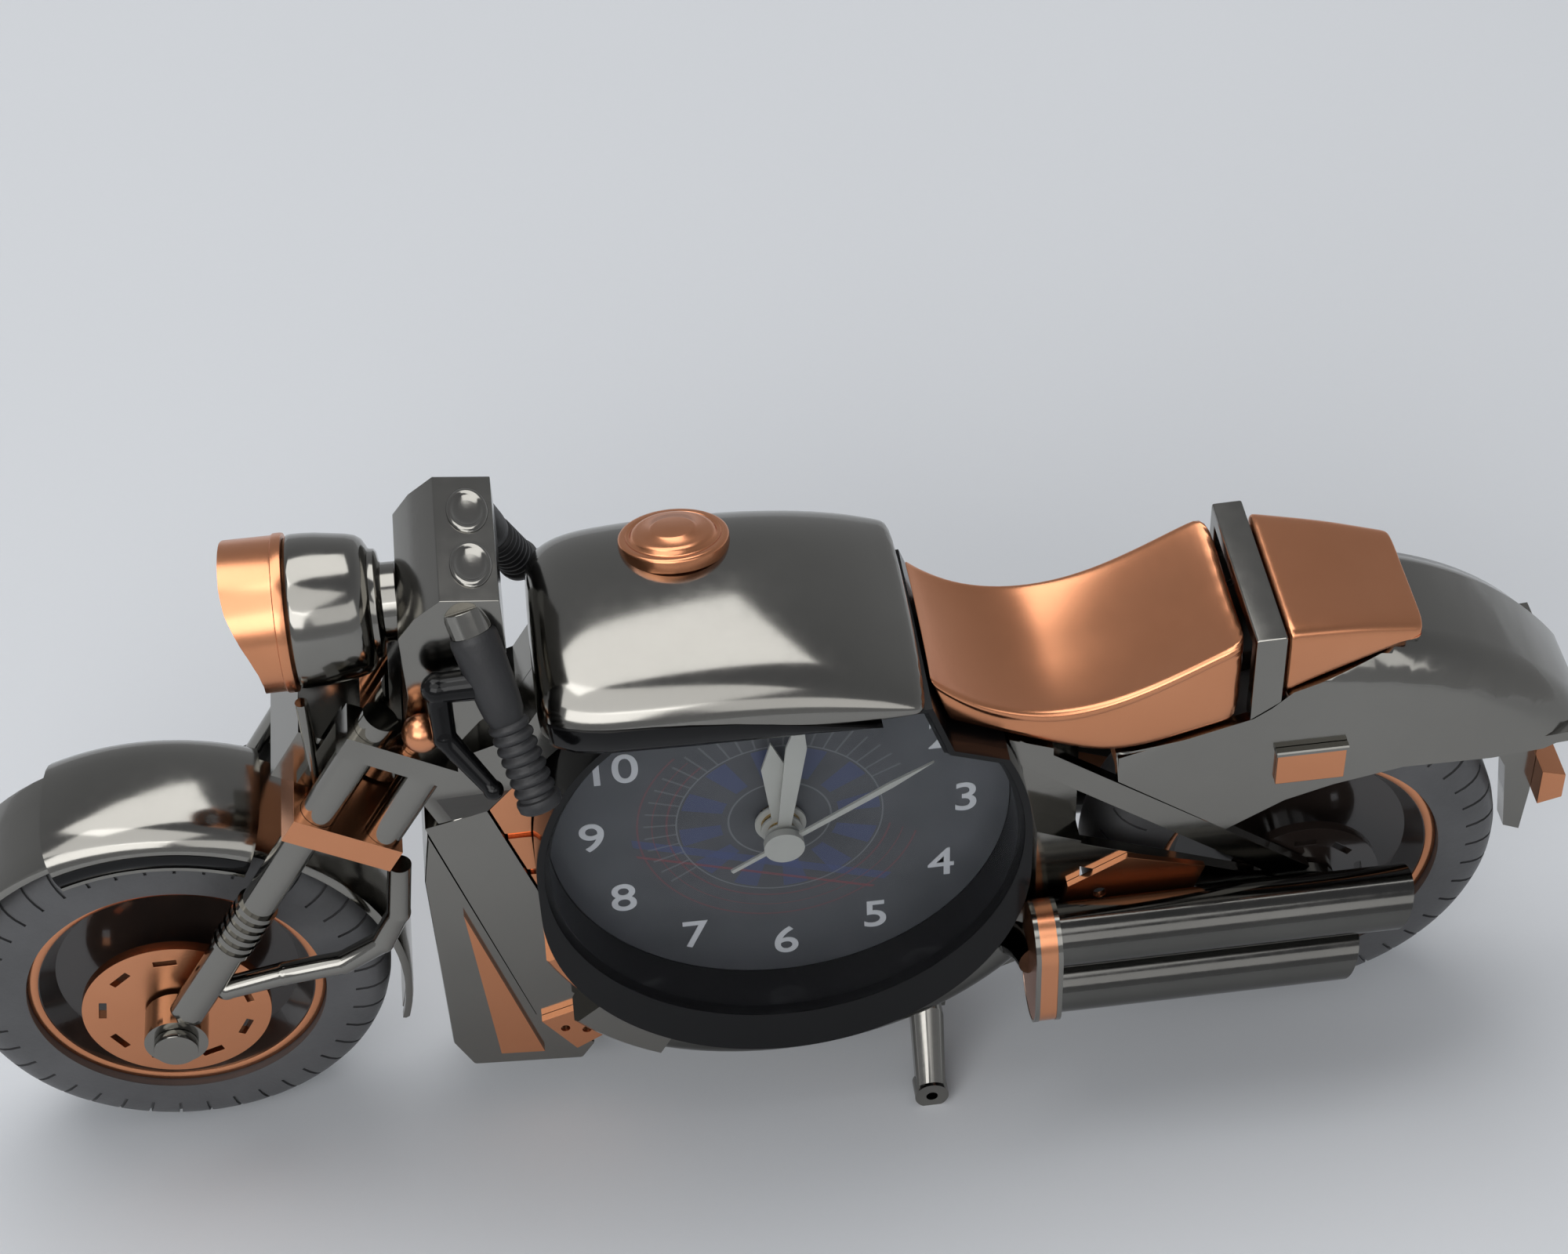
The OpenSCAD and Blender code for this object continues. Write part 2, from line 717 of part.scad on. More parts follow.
module fuel_cap() {
    rim_w = 1.2;
    color(copper) placed() translate(cap_at) rotate([cap_tilt, 0, 0]) {
        cylinder(h = 1.6, r = cap_r);
        translate([0, 0, 1.6]) cylinder(h = 0.8, r1 = cap_r - rim_w, r2 = cap_r - 2 * rim_w);
        translate([-cap_r + 2 * rim_w, -0.8, 2]) cube([2 * cap_r - 4 * rim_w, 1.6, 1.6]);
    }
}

seat_top = [[27.6, 84.6], [30, 82.2], [34.5, 78.9], [40, 76.8], [46, 76], [52, 76.9], [58, 79.1],
            [64, 82.2], [69, 85], [72.5, 86.4], [78, 86.5], [88, 84.9], [98, 82.4]];
seat_under = [[97.6, 80.6], [78.6, 75.4], [73, 71.6], [54, 66.2], [30.6, 75.7]];

module seat_plan(grow) {
    plan = [[27, 12.6], [45, seat_half], [73, seat_half], [98.5, 10.6]];
    half = [for (p = plan) [p[0], p[1] + grow]];
    mirrored = [for (i = [len(half) - 1 : -1 : 0]) [half[i][0], -half[i][1]]];
    translate([0, 0, 60]) linear_extrude(40) polygon(concat(half, mirrored));
}

module seat_body() {
    intersection() {
        slab(concat(seat_top, seat_under), -2 * seat_half, 2 * seat_half);
        seat_plan(0);
    }
}

band_from = 72.4;
band_to = 77;

module seat() {
    color(copper) placed() difference() {
        seat_body();
        slab([[band_from, 60], [band_to, 60], [band_to, 90], [band_from, 90]], -2 * seat_half,
            2 * seat_half);
    }
    core_half = seat_half - 2;
    color(copper) placed() slab([[band_from - 1, 73.2], [band_to + 1, 76.6], [band_to + 1, 84.4],
                                 [band_from - 1, 84.4]], -core_half, core_half);
}

module seat_band() {
    core_half = seat_half - 2 + seat_gap;
    outer = [[band_from + 0.1, 71.5], [band_to - 0.1, 74.6], [band_to - 0.1, 87.1], [band_from + 0.1, 87]];
    inner = [[band_from - 2, 73], [band_to + 2, 76.6], [band_to + 2, 84.45], [band_from - 2, 84.45]];
    color(plated) placed() difference() {
        slab(outer, -seat_half - 0.6, seat_half + 0.6);
        slab(inner, -core_half, core_half);
        slab([[band_from - 2, 69], [band_to + 2, 72], [band_to + 2, 77.5], [band_from - 2, 73.5]],
             -core_half, core_half);
    }
}

module rear_fender() {
    tail_r = 49.4;
    side = 14;
    shoulder = 4.6;
    outer = [[14, side], [tail_r - 7, side], [tail_r - shoulder, side - 0.9], [tail_r - 1.6, side - 3],
             [tail_r, side - 7]];
    outer_left = [for (i = [len(outer) - 1 : -1 : 0]) [outer[i][0], -outer[i][1]]];
    inner = [for (p = outer) [p[0] - shell_t, max(0, p[1] - shell_t)]];
    inner_left = [for (i = [len(inner) - 1 : -1 : 0]) [inner[i][0], -inner[i][1]]];
    flank = [[rear_x - 29.7, 61.6], [rear_x - 13.4, 48.9], [rear_x - 5, 53.8], [rear_x + 2, 56],
             [rear_x + 12, 58], [rear_x + 25, 57.8], [tail_x - 0.2, 59.4], [tail_x - 0.2, 84], [98.5, 84],
             [97.8, 80.4], [78.8, 75.2], [73.2, 71.4], [54.1, 66]];
    bracket = [[-17, 59], [-4, 59.6], [-3.8, 42], [-3.8, 36], [-4.4, 27.4], [-7, 28.6], [-8.4, 42]];
    floor_plate = [[-19, 57.9], [-3, 59.2], [-3, 61], [-19, 59.8]];
    bracket_half = 1.6;
    cross_tie = [[-29.6, 61.9], [-26, 59.2], [-24, 67.4], [-29.7, 65.8]];
    color(plated) placed() {
        intersection() {
            turned_band(rear_x, concat(outer, outer_left), -75, 60);
            slab(flank, -2 * side, 2 * side);
            difference() {
                turned_band(rear_x, concat(outer, outer_left), -75, 54.5);
                turned_band(rear_x, concat(inner, inner_left), -80, 60);
            }
        }
        translate([rear_x, 0, 0]) slab(cross_tie, -side + 0.5, side - 0.5);
        translate([tail_x, 0, 0]) slab(bracket, -bracket_half, bracket_half);
        translate([tail_x, 0, 0]) slab(floor_plate, -side + 0.5, side - 0.5);
        slab([[79.2, 75.1], [97.6, 80.1], [97.6, 78.6], [79.2, 73.6]], -9, 9);
    }
}

module reflectors() {
    tile = [[-7, 58.4], [3, 58.4], [3, 64.2], [-7, 64.2]];
    flank_y = 14;
    lamp_x0 = tail_x - 3.8 + seat_gap;
    color(copper) placed() {
        translate([rear_x, 0, 0]) both_sides() slab(tile, flank_y + seat_gap, flank_y + 1);
        slab([[lamp_x0, 36.4], [tail_x, 37.4], [tail_x, 42.2], [lamp_x0, 43.4]], -5, 5);
    }
}

module exhausts() {
    front = muffler_front + 0.8 + seat_gap;
    high_end = rear_x + 13.6;
    low_end = rear_x + 6.4;
    slash = 3;
    mouth = 9;
    header_r = 2.7;
    header_gap = 0.1;
    header_y = frame_half + header_gap + header_r;
    header_bend = 45;
    header_centre = [dial_x - 1.2, dial_z - 0.3];
    header_from = 40.7;
    header_to = 118;
    color(plated) placed() both_sides() translate([header_centre[0], header_y, header_centre[1]])
        rotate([-90, 0, 0]) rotate([0, 0, header_from]) rotate_extrude(angle = header_to - header_from)
            translate([header_bend, 0]) circle(header_r);
    color(plated) placed() both_sides() for (pipe = [[muffler_high, high_end], [muffler_low, low_end]]) {
        difference() {
            translate([front, muffler_y, pipe[0]]) rotate([0, 90, 0]) cylinder(h = pipe[1] - front,
                r = muffler_r);
            translate([pipe[1] - mouth, muffler_y, pipe[0]]) rotate([0, 90, 0])
                cylinder(h = mouth + 1, r = muffler_r - 1);
            slab([[pipe[1] + 1, pipe[0] + muffler_r + 1], [pipe[1] + 0.3, pipe[0] + muffler_r + 1],
                  [pipe[1] - slash, pipe[0] - muffler_r - 1], [pipe[1] + 1, pipe[0] - muffler_r - 1]],
                 muffler_y - 10, muffler_y + 10);
        }
    }
}

module stand() {
    leg_in = 9.4;
    leg_out = 12.4;
    foot_y = 18.6;
    foot_r = 2.6;
    foot_half = 1.3;
    foot_z = 2.2;
    hub = 2.5;
    color(plated) placed() difference() {
        union() {
            across(pivot_x, pivot_z, -leg_out, leg_out, pivot_r);
            both_sides() {
                hull() {
                    across(pivot_x, pivot_z, leg_in, leg_out, hub, $fn = 32);
                    across(pivot_x - 0.5, foot_z, foot_y - foot_half, foot_y + foot_half, foot_r - 0.4,
                        $fn = 32);
                }
                across(pivot_x - 0.5, foot_z, foot_y - foot_half - 0.3, foot_y + foot_half + 0.3, foot_r);
            }
        }
        translate([pivot_x - 20, -40, -10]) cube([40, 80, 10]);
        both_sides() across(pivot_x - 0.5, foot_z, foot_y - 4, foot_y + 4, 0.9);
    }
}

// Clock case

// Removes what would stand in the room of the tank and the seat, or nearer to it than a margin
module trimmed(margin) {
    intersection() {
        children();
        translate([-margin, 0, -margin]) slab(drum_room, -40, 40);
    }
}

module clock_housing() {
    recess_r = dial_r + 0.9;
    rear_inner = drum_r - wall_t;
    color(black) placed() difference() {
        trimmed(0) drum_shape(drum_r, crystal_y, split_y);
        trimmed(roof_t) across(dial_x, dial_z, crystal_y - 1, web_front, dial_r + 0.1);
        trimmed(roof_t / 2) across(dial_x, dial_z, crystal_y - 1, crystal_y + crystal_t + 0.05, recess_r);
        trimmed(roof_t) drum_shape(rear_inner, web_front + web_t, split_y + 1);
        across(dial_x, dial_z, dial_y - 1, web_front + web_t + 1, alarm_r + 0.5);
    }
    color(black) placed() difference() {
        for (spot = case_screw_spots)
            across(dial_x + spot[0], dial_z + spot[1], web_front + web_t - 0.2, split_y, 3);
        for (spot = case_screw_spots)
            across(dial_x + spot[0], dial_z + spot[1], -5.5, split_y + 1, screw_r + seat_gap);
    }
}

module rear_housing() {
    inner = drum_r - wall_t;
    floor_y = back_y - 1.6;
    start = split_y + 0.1;
    slot = [7.4, 8, 3.4];
    saddle_t = 2;
    end_t = 3;
    hole_ring = 3.6;
    color(black) placed() {
        difference() {
            trimmed(0) drum_shape(drum_r, start, back_y);
            trimmed(roof_t) drum_shape(inner, start - 1, floor_y);
            for (at = [minute_at, alarm_at])
                across(dial_x + at[0], dial_z + at[1], floor_y - 1, back_y + 1, arbor_r + 0.4);
            translate([dial_x - bay_half, floor_y - 1, dial_z + battery_v - battery_r - 0.1])
                cube([2 * bay_half, 5, 2 * battery_r + 0.2]);
            translate([dial_x, back_y, dial_z + 21]) cube(slot, center = true);
            for (a = [0 : 60 : 300])
                across(dial_x + buzzer_at[0] + hole_ring * cos(a),
                    dial_z + buzzer_at[1] + hole_ring * sin(a),
                       floor_y - 1, back_y + 1, 0.8);
            for (spot = case_screw_spots)
                across(dial_x + spot[0], dial_z + spot[1], start - 1, back_y + 1, screw_r + seat_gap);
        }
        difference() {
            union() {
                for (u = [-14, 12]) translate([dial_x + u, start, dial_z - 39])
                    cube([saddle_t, floor_y - start, 19.5]);
                both_sides_x() translate([dial_x + bay_half + 0.6, start, dial_z + battery_v - 6])
                    cube([end_t, floor_y - start + 0.2, 11]);
                for (spot = case_screw_spots)
                    across(dial_x + spot[0], dial_z + spot[1], start, floor_y + 0.2, 3);
            }
            across_x(battery_r + 0.1);
            for (spot = case_screw_spots)
                across(dial_x + spot[0], dial_z + spot[1], start - 1, back_y + 1, screw_r + seat_gap);
        }
    }
}

// Draws a piece on both sides of the dial's upright plane
module both_sides_x() {
    children();
    translate([2 * dial_x, 0, 0]) mirror([1, 0, 0]) children();
}

// Cylinder along the battery's axis
module across_x(r) {
    translate([dial_x - bay_half, battery_y, dial_z + battery_v]) rotate([0, 90, 0])
        cylinder(h = 2 * bay_half, r = r);
}

module crystal() {
    color([0.75, 0.8, 0.85, 0.3]) placed() trimmed(roof_t / 2 + 0.1)
        across(dial_x, dial_z, crystal_y, crystal_y + crystal_t, dial_r + 0.8);
}

module dial() {
    color([0.13, 0.14, 0.17]) placed() difference() {
        trimmed(roof_t + 0.1) across(dial_x, dial_z, dial_y, dial_y + dial_t, dial_r);
        across(dial_x, dial_z, dial_y - 1, dial_y + 2, alarm_r + 0.5);
    }
}

// Hands, drawn upright and then turned to the time shown

module hand(turn, y0, t, bore, boss, outline) {
    translate([dial_x, 0, dial_z]) rotate([0, turn, 0]) difference() {
        union() {
            slab(outline, y0, y0 + t);
            across(0, 0, y0, y0 + t, boss);
        }
        across(0, 0, y0 - 1, y0 + t + 1, bore);
    }
}

function blade(length, w, tail) = [[-w * 0.3, -tail], [w * 0.3, -tail], [w / 2, length * 0.72], [0, length],
                                   [-w / 2, length * 0.72]];

hour_turn = -3;
minute_turn = 8;
second_turn = 58;
alarm_turn = 0;
alarm_hand_y = -10.7;
hour_hand_y = -12;
minute_hand_y = -13.3;
second_hand_y = -14.6;
hand_t = 0.5;

module alarm_hand() {
    color(pale) placed() hand(alarm_turn, alarm_hand_y, hand_t, alarm_r + 0.02, alarm_r + 0.9,
                              blade(alarm_len, 1.2, 0));
}

module hour_hand() {
    color(pale) placed() hand(hour_turn, hour_hand_y, hand_t, hour_r + 0.02, hour_r + 1,
        blade(hour_len, 3.6, 0));
}

module minute_hand() {
    color(pale) placed() hand(minute_turn, minute_hand_y, hand_t, minute_r + 0.02, minute_r + 1.2,
                              blade(minute_len, 3, 0));
}

module second_hand() {
    cap_t = 0.8;
    color(pale) placed() {
        hand(second_turn, second_hand_y, hand_t - 0.1, second_r + 0.02, 2.9, blade(second_len, 1, 9));
        across(dial_x, dial_z, second_hand_y - cap_t, second_hand_y + hand_t / 4, 2.9);
    }
}

// Movement, in the plane of the dial: u to the rear of the bike, v upwards

module at_dial(at) {
    translate([dial_x + at[0], 0, dial_z + at[1]]) children();
}

function roll(pressure) = tan(pressure) * 180 / PI - pressure;

// Half angle of an involute tooth at a radius
function tooth_half(teeth, module_size, r) =
    let (base = module_size * teeth / 2 * cos(20), slim = 0.12 * module_size / (module_size * teeth)
        * 180 / PI)
    90 / teeth - slim + roll(20) - (r > base ? roll(acos(base / r)) : 0);

// Outline of a spur gear with one tooth on the given direction
function gear_outline(teeth, module_size, turn) =
    let (pitch = module_size * teeth / 2, top = pitch + 0.8 * module_size,
        root = pitch - 1.15 * module_size,
         radii = [root, pitch - 0.35 * module_size, pitch, pitch + 0.4 * module_size, top])
    [for (i = [0 : teeth - 1]) let (mid = turn + 360 * i / teeth)
        each concat(
            [for (r = radii) let (a = mid - tooth_half(teeth, module_size, r)) r * [cos(a), sin(a)]],
            [for (k = [len(radii) - 1 : -1 : 0]) let (r = radii[k], a = mid + tooth_half(teeth,
                module_size, r))
                r * [cos(a), sin(a)]])];

module gear(teeth, module_size, turn, y0, y1) {
    slab(gear_outline(teeth, module_size, turn), y0, y1);
}

module tube(r, bore, y0, y1) {
    difference() {
        across(0, 0, y0, y1, r);
        across(0, 0, y0 - 1, y1 + 1, bore);
    }
}

alarm_layer = [-5.5, -4.5];
hour_layer = [-4, -3];
minute_layer = [-2.4, -1.4];
seconds_layer = [1, 2];
step_layer = [2.6, 3.4];
magnet_layer = [3.8, 5.1];

module alarm_wheel() {
    color(brass) placed() at_dial([0, 0]) difference() {
        union() {
            gear(alarm_teeth, alarm_module, 180 / alarm_teeth, alarm_layer[0], alarm_layer[1]);
            across(0, 0, alarm_hand_y - 0.3, alarm_layer[1], alarm_r);
        }
        across(0, 0, alarm_hand_y - 1, 0, hour_r + tube_gap);
    }
}

module hour_wheel() {
    color(brass) placed() at_dial([0, 0]) difference() {
        union() {
            gear(hour_teeth, hour_module, 180 + 180 / hour_teeth, hour_layer[0], hour_layer[1]);
            across(0, 0, hour_hand_y - 0.2, hour_layer[1], hour_r);
        }
        across(0, 0, hour_hand_y - 1, 0, minute_r + tube_gap);
    }
}

module cannon_wheel() {
    clutch_r = 7;
    color(brass) placed() at_dial([0, 0]) difference() {
        union() {
            gear(cannon_teeth, minute_module, 180, minute_layer[0], minute_layer[1] + 0.2);
            across(0, 0, minute_hand_y - 0.2, minute_layer[1], minute_r);
            across(0, 0, -0.9, 0.3, clutch_r);
            across(0, 0, minute_layer[1], 0.3, minute_r);
        }
        across(0, 0, minute_hand_y - 1, 1, second_r + tube_gap);
    }
}

module knob_shape(at) {
    grips_round = 18;
    difference() {
        across(at[0], at[1], knob_front, knob_front + knob_t, knob_r);
        for (i = [0 : grips_round - 1])
            across(at[0] + (knob_r + 0.3) * cos(360 * i / grips_round),
                   at[1] + (knob_r + 0.3) * sin(360 * i / grips_round), knob_front + 1,
                       knob_front + 2 * knob_t, 0.6);
    }
}

module minute_wheel() {
    color(brass) placed() at_dial(minute_at) {
        gear(minute_teeth, minute_module, 180 / minute_teeth, minute_layer[0], minute_layer[1]);
        gear(pinion_teeth, hour_module, 0, hour_layer[0], hour_layer[1] + 0.6);
        across(0, 0, plate_y + plate_t + 0.1, knob_front + 1, arbor_r);
        knob_shape([0, 0]);
    }
}

module alarm_knob() {
    color(brass) placed() at_dial(alarm_at) {
        gear(alarm_pinion_teeth, alarm_module, 180, alarm_layer[0], alarm_layer[1]);
        across(0, 0, alarm_layer[0], knob_front + 1, arbor_r);
        knob_shape([0, 0]);
    }
}

module seconds_wheel() {
    color(brass) placed() at_dial([0, 0]) {
        gear(seconds_teeth, seconds_module, 90 + 180 / seconds_teeth, seconds_layer[0], seconds_layer[1]);
        across(0, 0, second_hand_y + hand_t / 4 + 0.02, cover_y + cover_t, second_r);
    }
}

module step_wheel() {
    color(pale) placed() at_dial(step_at) {
        gear(step_pinion_teeth, seconds_module, -90, seconds_layer[0], seconds_layer[1] + 0.7);
        gear(step_teeth, step_module, rotor_turn + 180 / step_teeth, step_layer[0], step_layer[1]);
        across(0, 0, plate_y, cover_y + cover_t, second_r);
    }
}

module rotor() {
    magnet_r = 2.6;
    color(steel) placed() at_dial(rotor_at) {
        gear(rotor_teeth, step_module, rotor_turn + 180, step_layer[0] - 0.1, step_layer[1] + 0.5);
        across(0, 0, magnet_layer[0], magnet_layer[1], magnet_r);
        across(0, 0, plate_y, cover_y + cover_t, second_r - 0.1);
    }
}

module stator() {
    outline = [[dial_x + 3.4, dial_z + 12.4], [dial_x + 18.6, dial_z + 12.4], [dial_x + 18.6,
        dial_z + 23.4],
               [dial_x + 3.4, dial_z + 23.4]];
    color(steel) placed() difference() {
        slab(outline, magnet_layer[0] + 0.2, magnet_layer[1] - 0.2);
        across(dial_x + rotor_at[0], dial_z + rotor_at[1], 0, cover_y, 3);
        across(dial_x + 6, dial_z + 22, 0, cover_y, 0.6);
    }
    color(steel) placed() slab([[dial_x + 13, dial_z + 22], [dial_x + 18, dial_z + 22], [dial_x + 18,
        dial_z + 23.4],
                                [dial_x + 13, dial_z + 23.4]], magnet_layer[1] - 0.4, cover_y - 0.1);
}

module coil() {
    coil_r = 2.5;
    color([0.75, 0.35, 0.15]) placed() translate([dial_x + 15.6, magnet_layer[0] + 0.1 - coil_r,
        dial_z + 12.6])
        cylinder(h = 10.4, r = coil_r);
}

module movement_plate() {
    post_r = 1.9;
    color([0.9, 0.9, 0.88]) placed() difference() {
        union() {
            translate([dial_x - movement_half, plate_y, dial_z + movement_low])
                cube([2 * movement_half, plate_t, movement_high - movement_low]);
            for (u = [-17.6, 17.6]) for (v = [movement_low + 2.4, movement_high - 13.6])
                across(dial_x + u, dial_z + v, plate_y + plate_t - 0.1, cover_y - 0.1, post_r);
        }
        at_dial([0, 0]) across(0, 0, plate_y - 1, plate_y + 5, alarm_r + tube_gap);
        for (at = [step_at, rotor_at])
            at_dial(at) across(0, 0, plate_y - 1, plate_y + 5, second_r + run_gap);
    }
}

module movement_cover() {
    color([0.9, 0.9, 0.88]) placed() difference() {
        translate([dial_x - movement_half, cover_y, dial_z + movement_low])
            cube([2 * movement_half, cover_t, movement_high - movement_low]);
        for (at = [minute_at, alarm_at])
            at_dial(at) across(0, 0, cover_y - 1, cover_y + 5, arbor_r + run_gap);
        for (at = [[0, 0], step_at, rotor_at])
            at_dial(at) across(0, 0, cover_y - 1, cover_y + 5, second_r + run_gap);
    }
}

module circuit_board() {
    color(green) placed() translate([dial_x - 15, cover_y - 1.1, dial_z + 4]) cube([11, 1, 19]);
}

module buzzer() {
    color(brass) placed() difference() {
        at_dial(buzzer_at) across(0, 0, 10, back_y - 1.65, buzzer_r);
        at_dial(buzzer_at) across(0, 0, 12.6, back_y, 1.2);
    }
}

module alarm_switch() {
    stem = [2.8, 4.6, 2.8];
    cap = [4.4, 1.8, 4.6];
    flange = [6, 1, 6];
    color(pale) placed() translate([dial_x - 2, 0, dial_z + 21]) {
        translate([-stem[0] / 2, 12.4, -stem[2] / 2]) cube(stem);
        translate([-cap[0] / 2, back_y + 0.3, -cap[2] / 2]) cube(cap);
        translate([-flange[0] / 2, 12, -flange[2] / 2]) cube(flange);
    }
}

module battery() {
    nub_r = 2.6;
    nub_t = 1;
    color([0.2, 0.22, 0.25]) placed() translate([dial_x - battery_half, battery_y, dial_z + battery_v])
        rotate([0, 90, 0]) {
            cylinder(h = 2 * battery_half, r = battery_r);
            translate([0, 0, 2 * battery_half]) cylinder(h = nub_t, r = nub_r);
        }
}

module battery_contacts() {
    tab_t = 0.4;
    spring_r = 3;
    color(steel) placed() {
        translate([dial_x + bay_half, 2, dial_z + battery_v - 4]) cube([tab_t, 7, 8]);
        translate([dial_x - bay_half - tab_t, 2, dial_z + battery_v - 4]) cube([tab_t, 7, 8]);
        translate([dial_x - bay_half, battery_y, dial_z + battery_v]) rotate([0, 90, 0])
            cylinder(h = bay_half - battery_half - seat_gap, r1 = spring_r, r2 = spring_r - 1);
    }
}

module battery_cover() {
    fit = 0.2;
    cover_depth = 1.5;
    low = dial_z + battery_v - battery_r - 0.1 + fit;
    tall = 2 * battery_r + 0.2 - 2 * fit;
    color(black) placed() difference() {
        translate([dial_x - bay_half + fit, back_y - cover_depth, low])
            cube([2 * (bay_half - fit), cover_depth, tall]);
        for (i = [0 : 3])
            translate([dial_x - bay_half + 6, back_y - 0.5, low + 3 + 2.4 * i]) cube([8, 2, 0.9]);
    }
}

front_tyre();
front_rim();
front_discs();
front_axle();
rear_tyre();
rear_rim();
rear_discs();
rear_axle();
fork_legs();
lower_yoke();
upper_yoke();
front_fender();
headlight_bucket();
headlight_bezel();
headlight_lens();
nacelle();
grips();
levers();
turn_lamps();
steering_head();
frame_left();
frame_right();
screws();
front_cowl();
engine_block();
copper_trim();
fuel_tank();
fuel_cap();
seat();
seat_band();
rear_fender();
reflectors();
exhausts();
stand();
clock_housing();
rear_housing();
crystal();
dial();
hour_hand();
minute_hand();
second_hand();
alarm_hand();
movement_plate();
movement_cover();
hour_wheel();
cannon_wheel();
minute_wheel();
alarm_wheel();
alarm_knob();
seconds_wheel();
step_wheel();
rotor();
stator();
coil();
circuit_board();
buzzer();
alarm_switch();
battery();
battery_contacts();
battery_cover();
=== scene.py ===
import json
import math
import bpy
from mathutils import Matrix, Vector


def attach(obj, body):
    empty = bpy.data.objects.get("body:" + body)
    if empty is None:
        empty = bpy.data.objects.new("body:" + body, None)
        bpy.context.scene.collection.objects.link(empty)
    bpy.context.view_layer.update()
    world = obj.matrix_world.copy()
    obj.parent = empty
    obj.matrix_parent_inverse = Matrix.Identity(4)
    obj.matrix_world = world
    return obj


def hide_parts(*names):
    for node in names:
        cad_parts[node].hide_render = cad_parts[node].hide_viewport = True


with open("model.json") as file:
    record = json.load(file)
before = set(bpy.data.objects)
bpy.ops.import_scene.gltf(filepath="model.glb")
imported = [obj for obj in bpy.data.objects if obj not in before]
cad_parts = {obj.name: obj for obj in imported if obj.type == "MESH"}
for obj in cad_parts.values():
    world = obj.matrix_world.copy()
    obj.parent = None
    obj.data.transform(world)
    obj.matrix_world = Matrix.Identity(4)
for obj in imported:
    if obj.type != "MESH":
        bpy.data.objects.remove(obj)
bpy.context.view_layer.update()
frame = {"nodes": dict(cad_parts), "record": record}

mm = 0.001
wheelbase = 168                                        # mm
axleHeight = 31.5                                      # mm, the radius of both tyres
midWheelbase = -3.904                                  # mm, middle between the axles in the row frame
drumX = 6.2                                            # mm from there to the drum's middle, rearwards
dialHeight = 57.0                                      # mm
frontAxle = Vector((midWheelbase - wheelbase / 2, 0, axleHeight)) * mm
rearAxle = Vector((midWheelbase + wheelbase / 2, 0, axleHeight)) * mm
dialCentre = Vector((midWheelbase + drumX, 0, dialHeight)) * mm
sides = ((-1, "Near"), (1, "Far"))                     # the camera looks from negative y

bodyOfNode = {node: body for body, nodes in frame["record"]["behaviour"]["bodies"].items() for node in nodes}
slotOfNode = {entry["node"]: entry["material_slot"] for entry in frame["record"]["subparts"]}


def rowX(x):                                           # mm from the middle between the axles to the row frame
    return x + midWheelbase


# camera

cameraLook = {
    "eye": (-22.004, -312.8, 388.6),                   # mm
    "right": (0.9923, -0.1192, -0.0345),
    "up": (0.1075, 0.6869, 0.7188),
    "back": (-0.0620, -0.7169, 0.6944),
    "lens": 72,
    "sensor": 36,
}


def addCamera(look):
    bpy.ops.object.camera_add()
    camera = bpy.context.object
    camera.name = "photoCamera"
    axes = Matrix((look["right"], look["up"], look["back"])).transposed().to_4x4()
    camera.matrix_world = Matrix.Translation(Vector(look["eye"]) * mm) @ axes
    camera.data.lens = look["lens"]
    camera.data.sensor_width = look["sensor"]
    bpy.context.scene.camera = camera


addCamera(cameraLook)
print("camera placed")

# shader maths


class Wire:
    def __init__(self, tree, socket=None):
        self.tree = tree
        self.socket = socket

    def add(self, kind, settings=None, sockets=None, output=0):
        made = self.tree.nodes.new(kind)
        for name, value in (settings or {}).items():
            setattr(made, name, value)
        for key, value in (sockets or {}).items():
            if isinstance(value, Wire):
                self.tree.links.new(value.socket, made.inputs[key])
            else:
                made.inputs[key].default_value = value
        return Wire(self.tree, made.outputs[output])

    def math(self, operation, first, second=0.0):
        return self.add("ShaderNodeMath", {"operation": operation}, {0: first, 1: second})

    def __add__(self, other):
        return self.math("ADD", self, other)

    def __radd__(self, other):
        return self.math("ADD", other, self)

    def __sub__(self, other):
        return self.math("SUBTRACT", self, other)

    def __rsub__(self, other):
        return self.math("SUBTRACT", other, self)

    def __mul__(self, other):
        return self.math("MULTIPLY", self, other)

    def __rmul__(self, other):
        return self.math("MULTIPLY", other, self)

    def __truediv__(self, other):
        return self.math("DIVIDE", self, other)

    def __lt__(self, other):
        return self.math("LESS_THAN", self, other)

    def __gt__(self, other):
        return self.math("GREATER_THAN", self, other)

    def power(self, exponent):
        return self.math("POWER", self, exponent)

    def most(self, other):
        return self.math("MAXIMUM", self, other)

    def least(self, other):
        return self.math("MINIMUM", self, other)

    def size(self):
        return self.math("ABSOLUTE", self)

    def between(self, low, high):
        return (self > low) * (self < high)

    def near(self, middle, half):                      # 1 within half of the middle, 0 elsewhere
        return (self - middle).size() < half

    def stripes(self, half):                           # 1 near the middle of each whole step
        return self.math("FRACT", self).near(0.5, half)

    def blend(self, first, second):                    # two colours mixed by this value
        return self.add("ShaderNodeMix", {"data_type": "RGBA"},
                        {0: self, 6: shade(first), 7: shade(second)}, 2)


def shade(colour):
    if isinstance(colour, Wire) or len(colour) == 4:
        return colour
    return (*colour, 1)


def newFinish(name):
    material = bpy.data.materials.new(name)
    material.use_nodes = True
    wire = Wire(material.node_tree)
    return material, material.node_tree.nodes["Principled BSDF"], wire


def feed(shader, values):
    for name, value in values.items():
        if isinstance(value, Wire):
            value.tree.links.new(value.socket, shader.inputs[name])
        else:
            shader.inputs[name].default_value = value


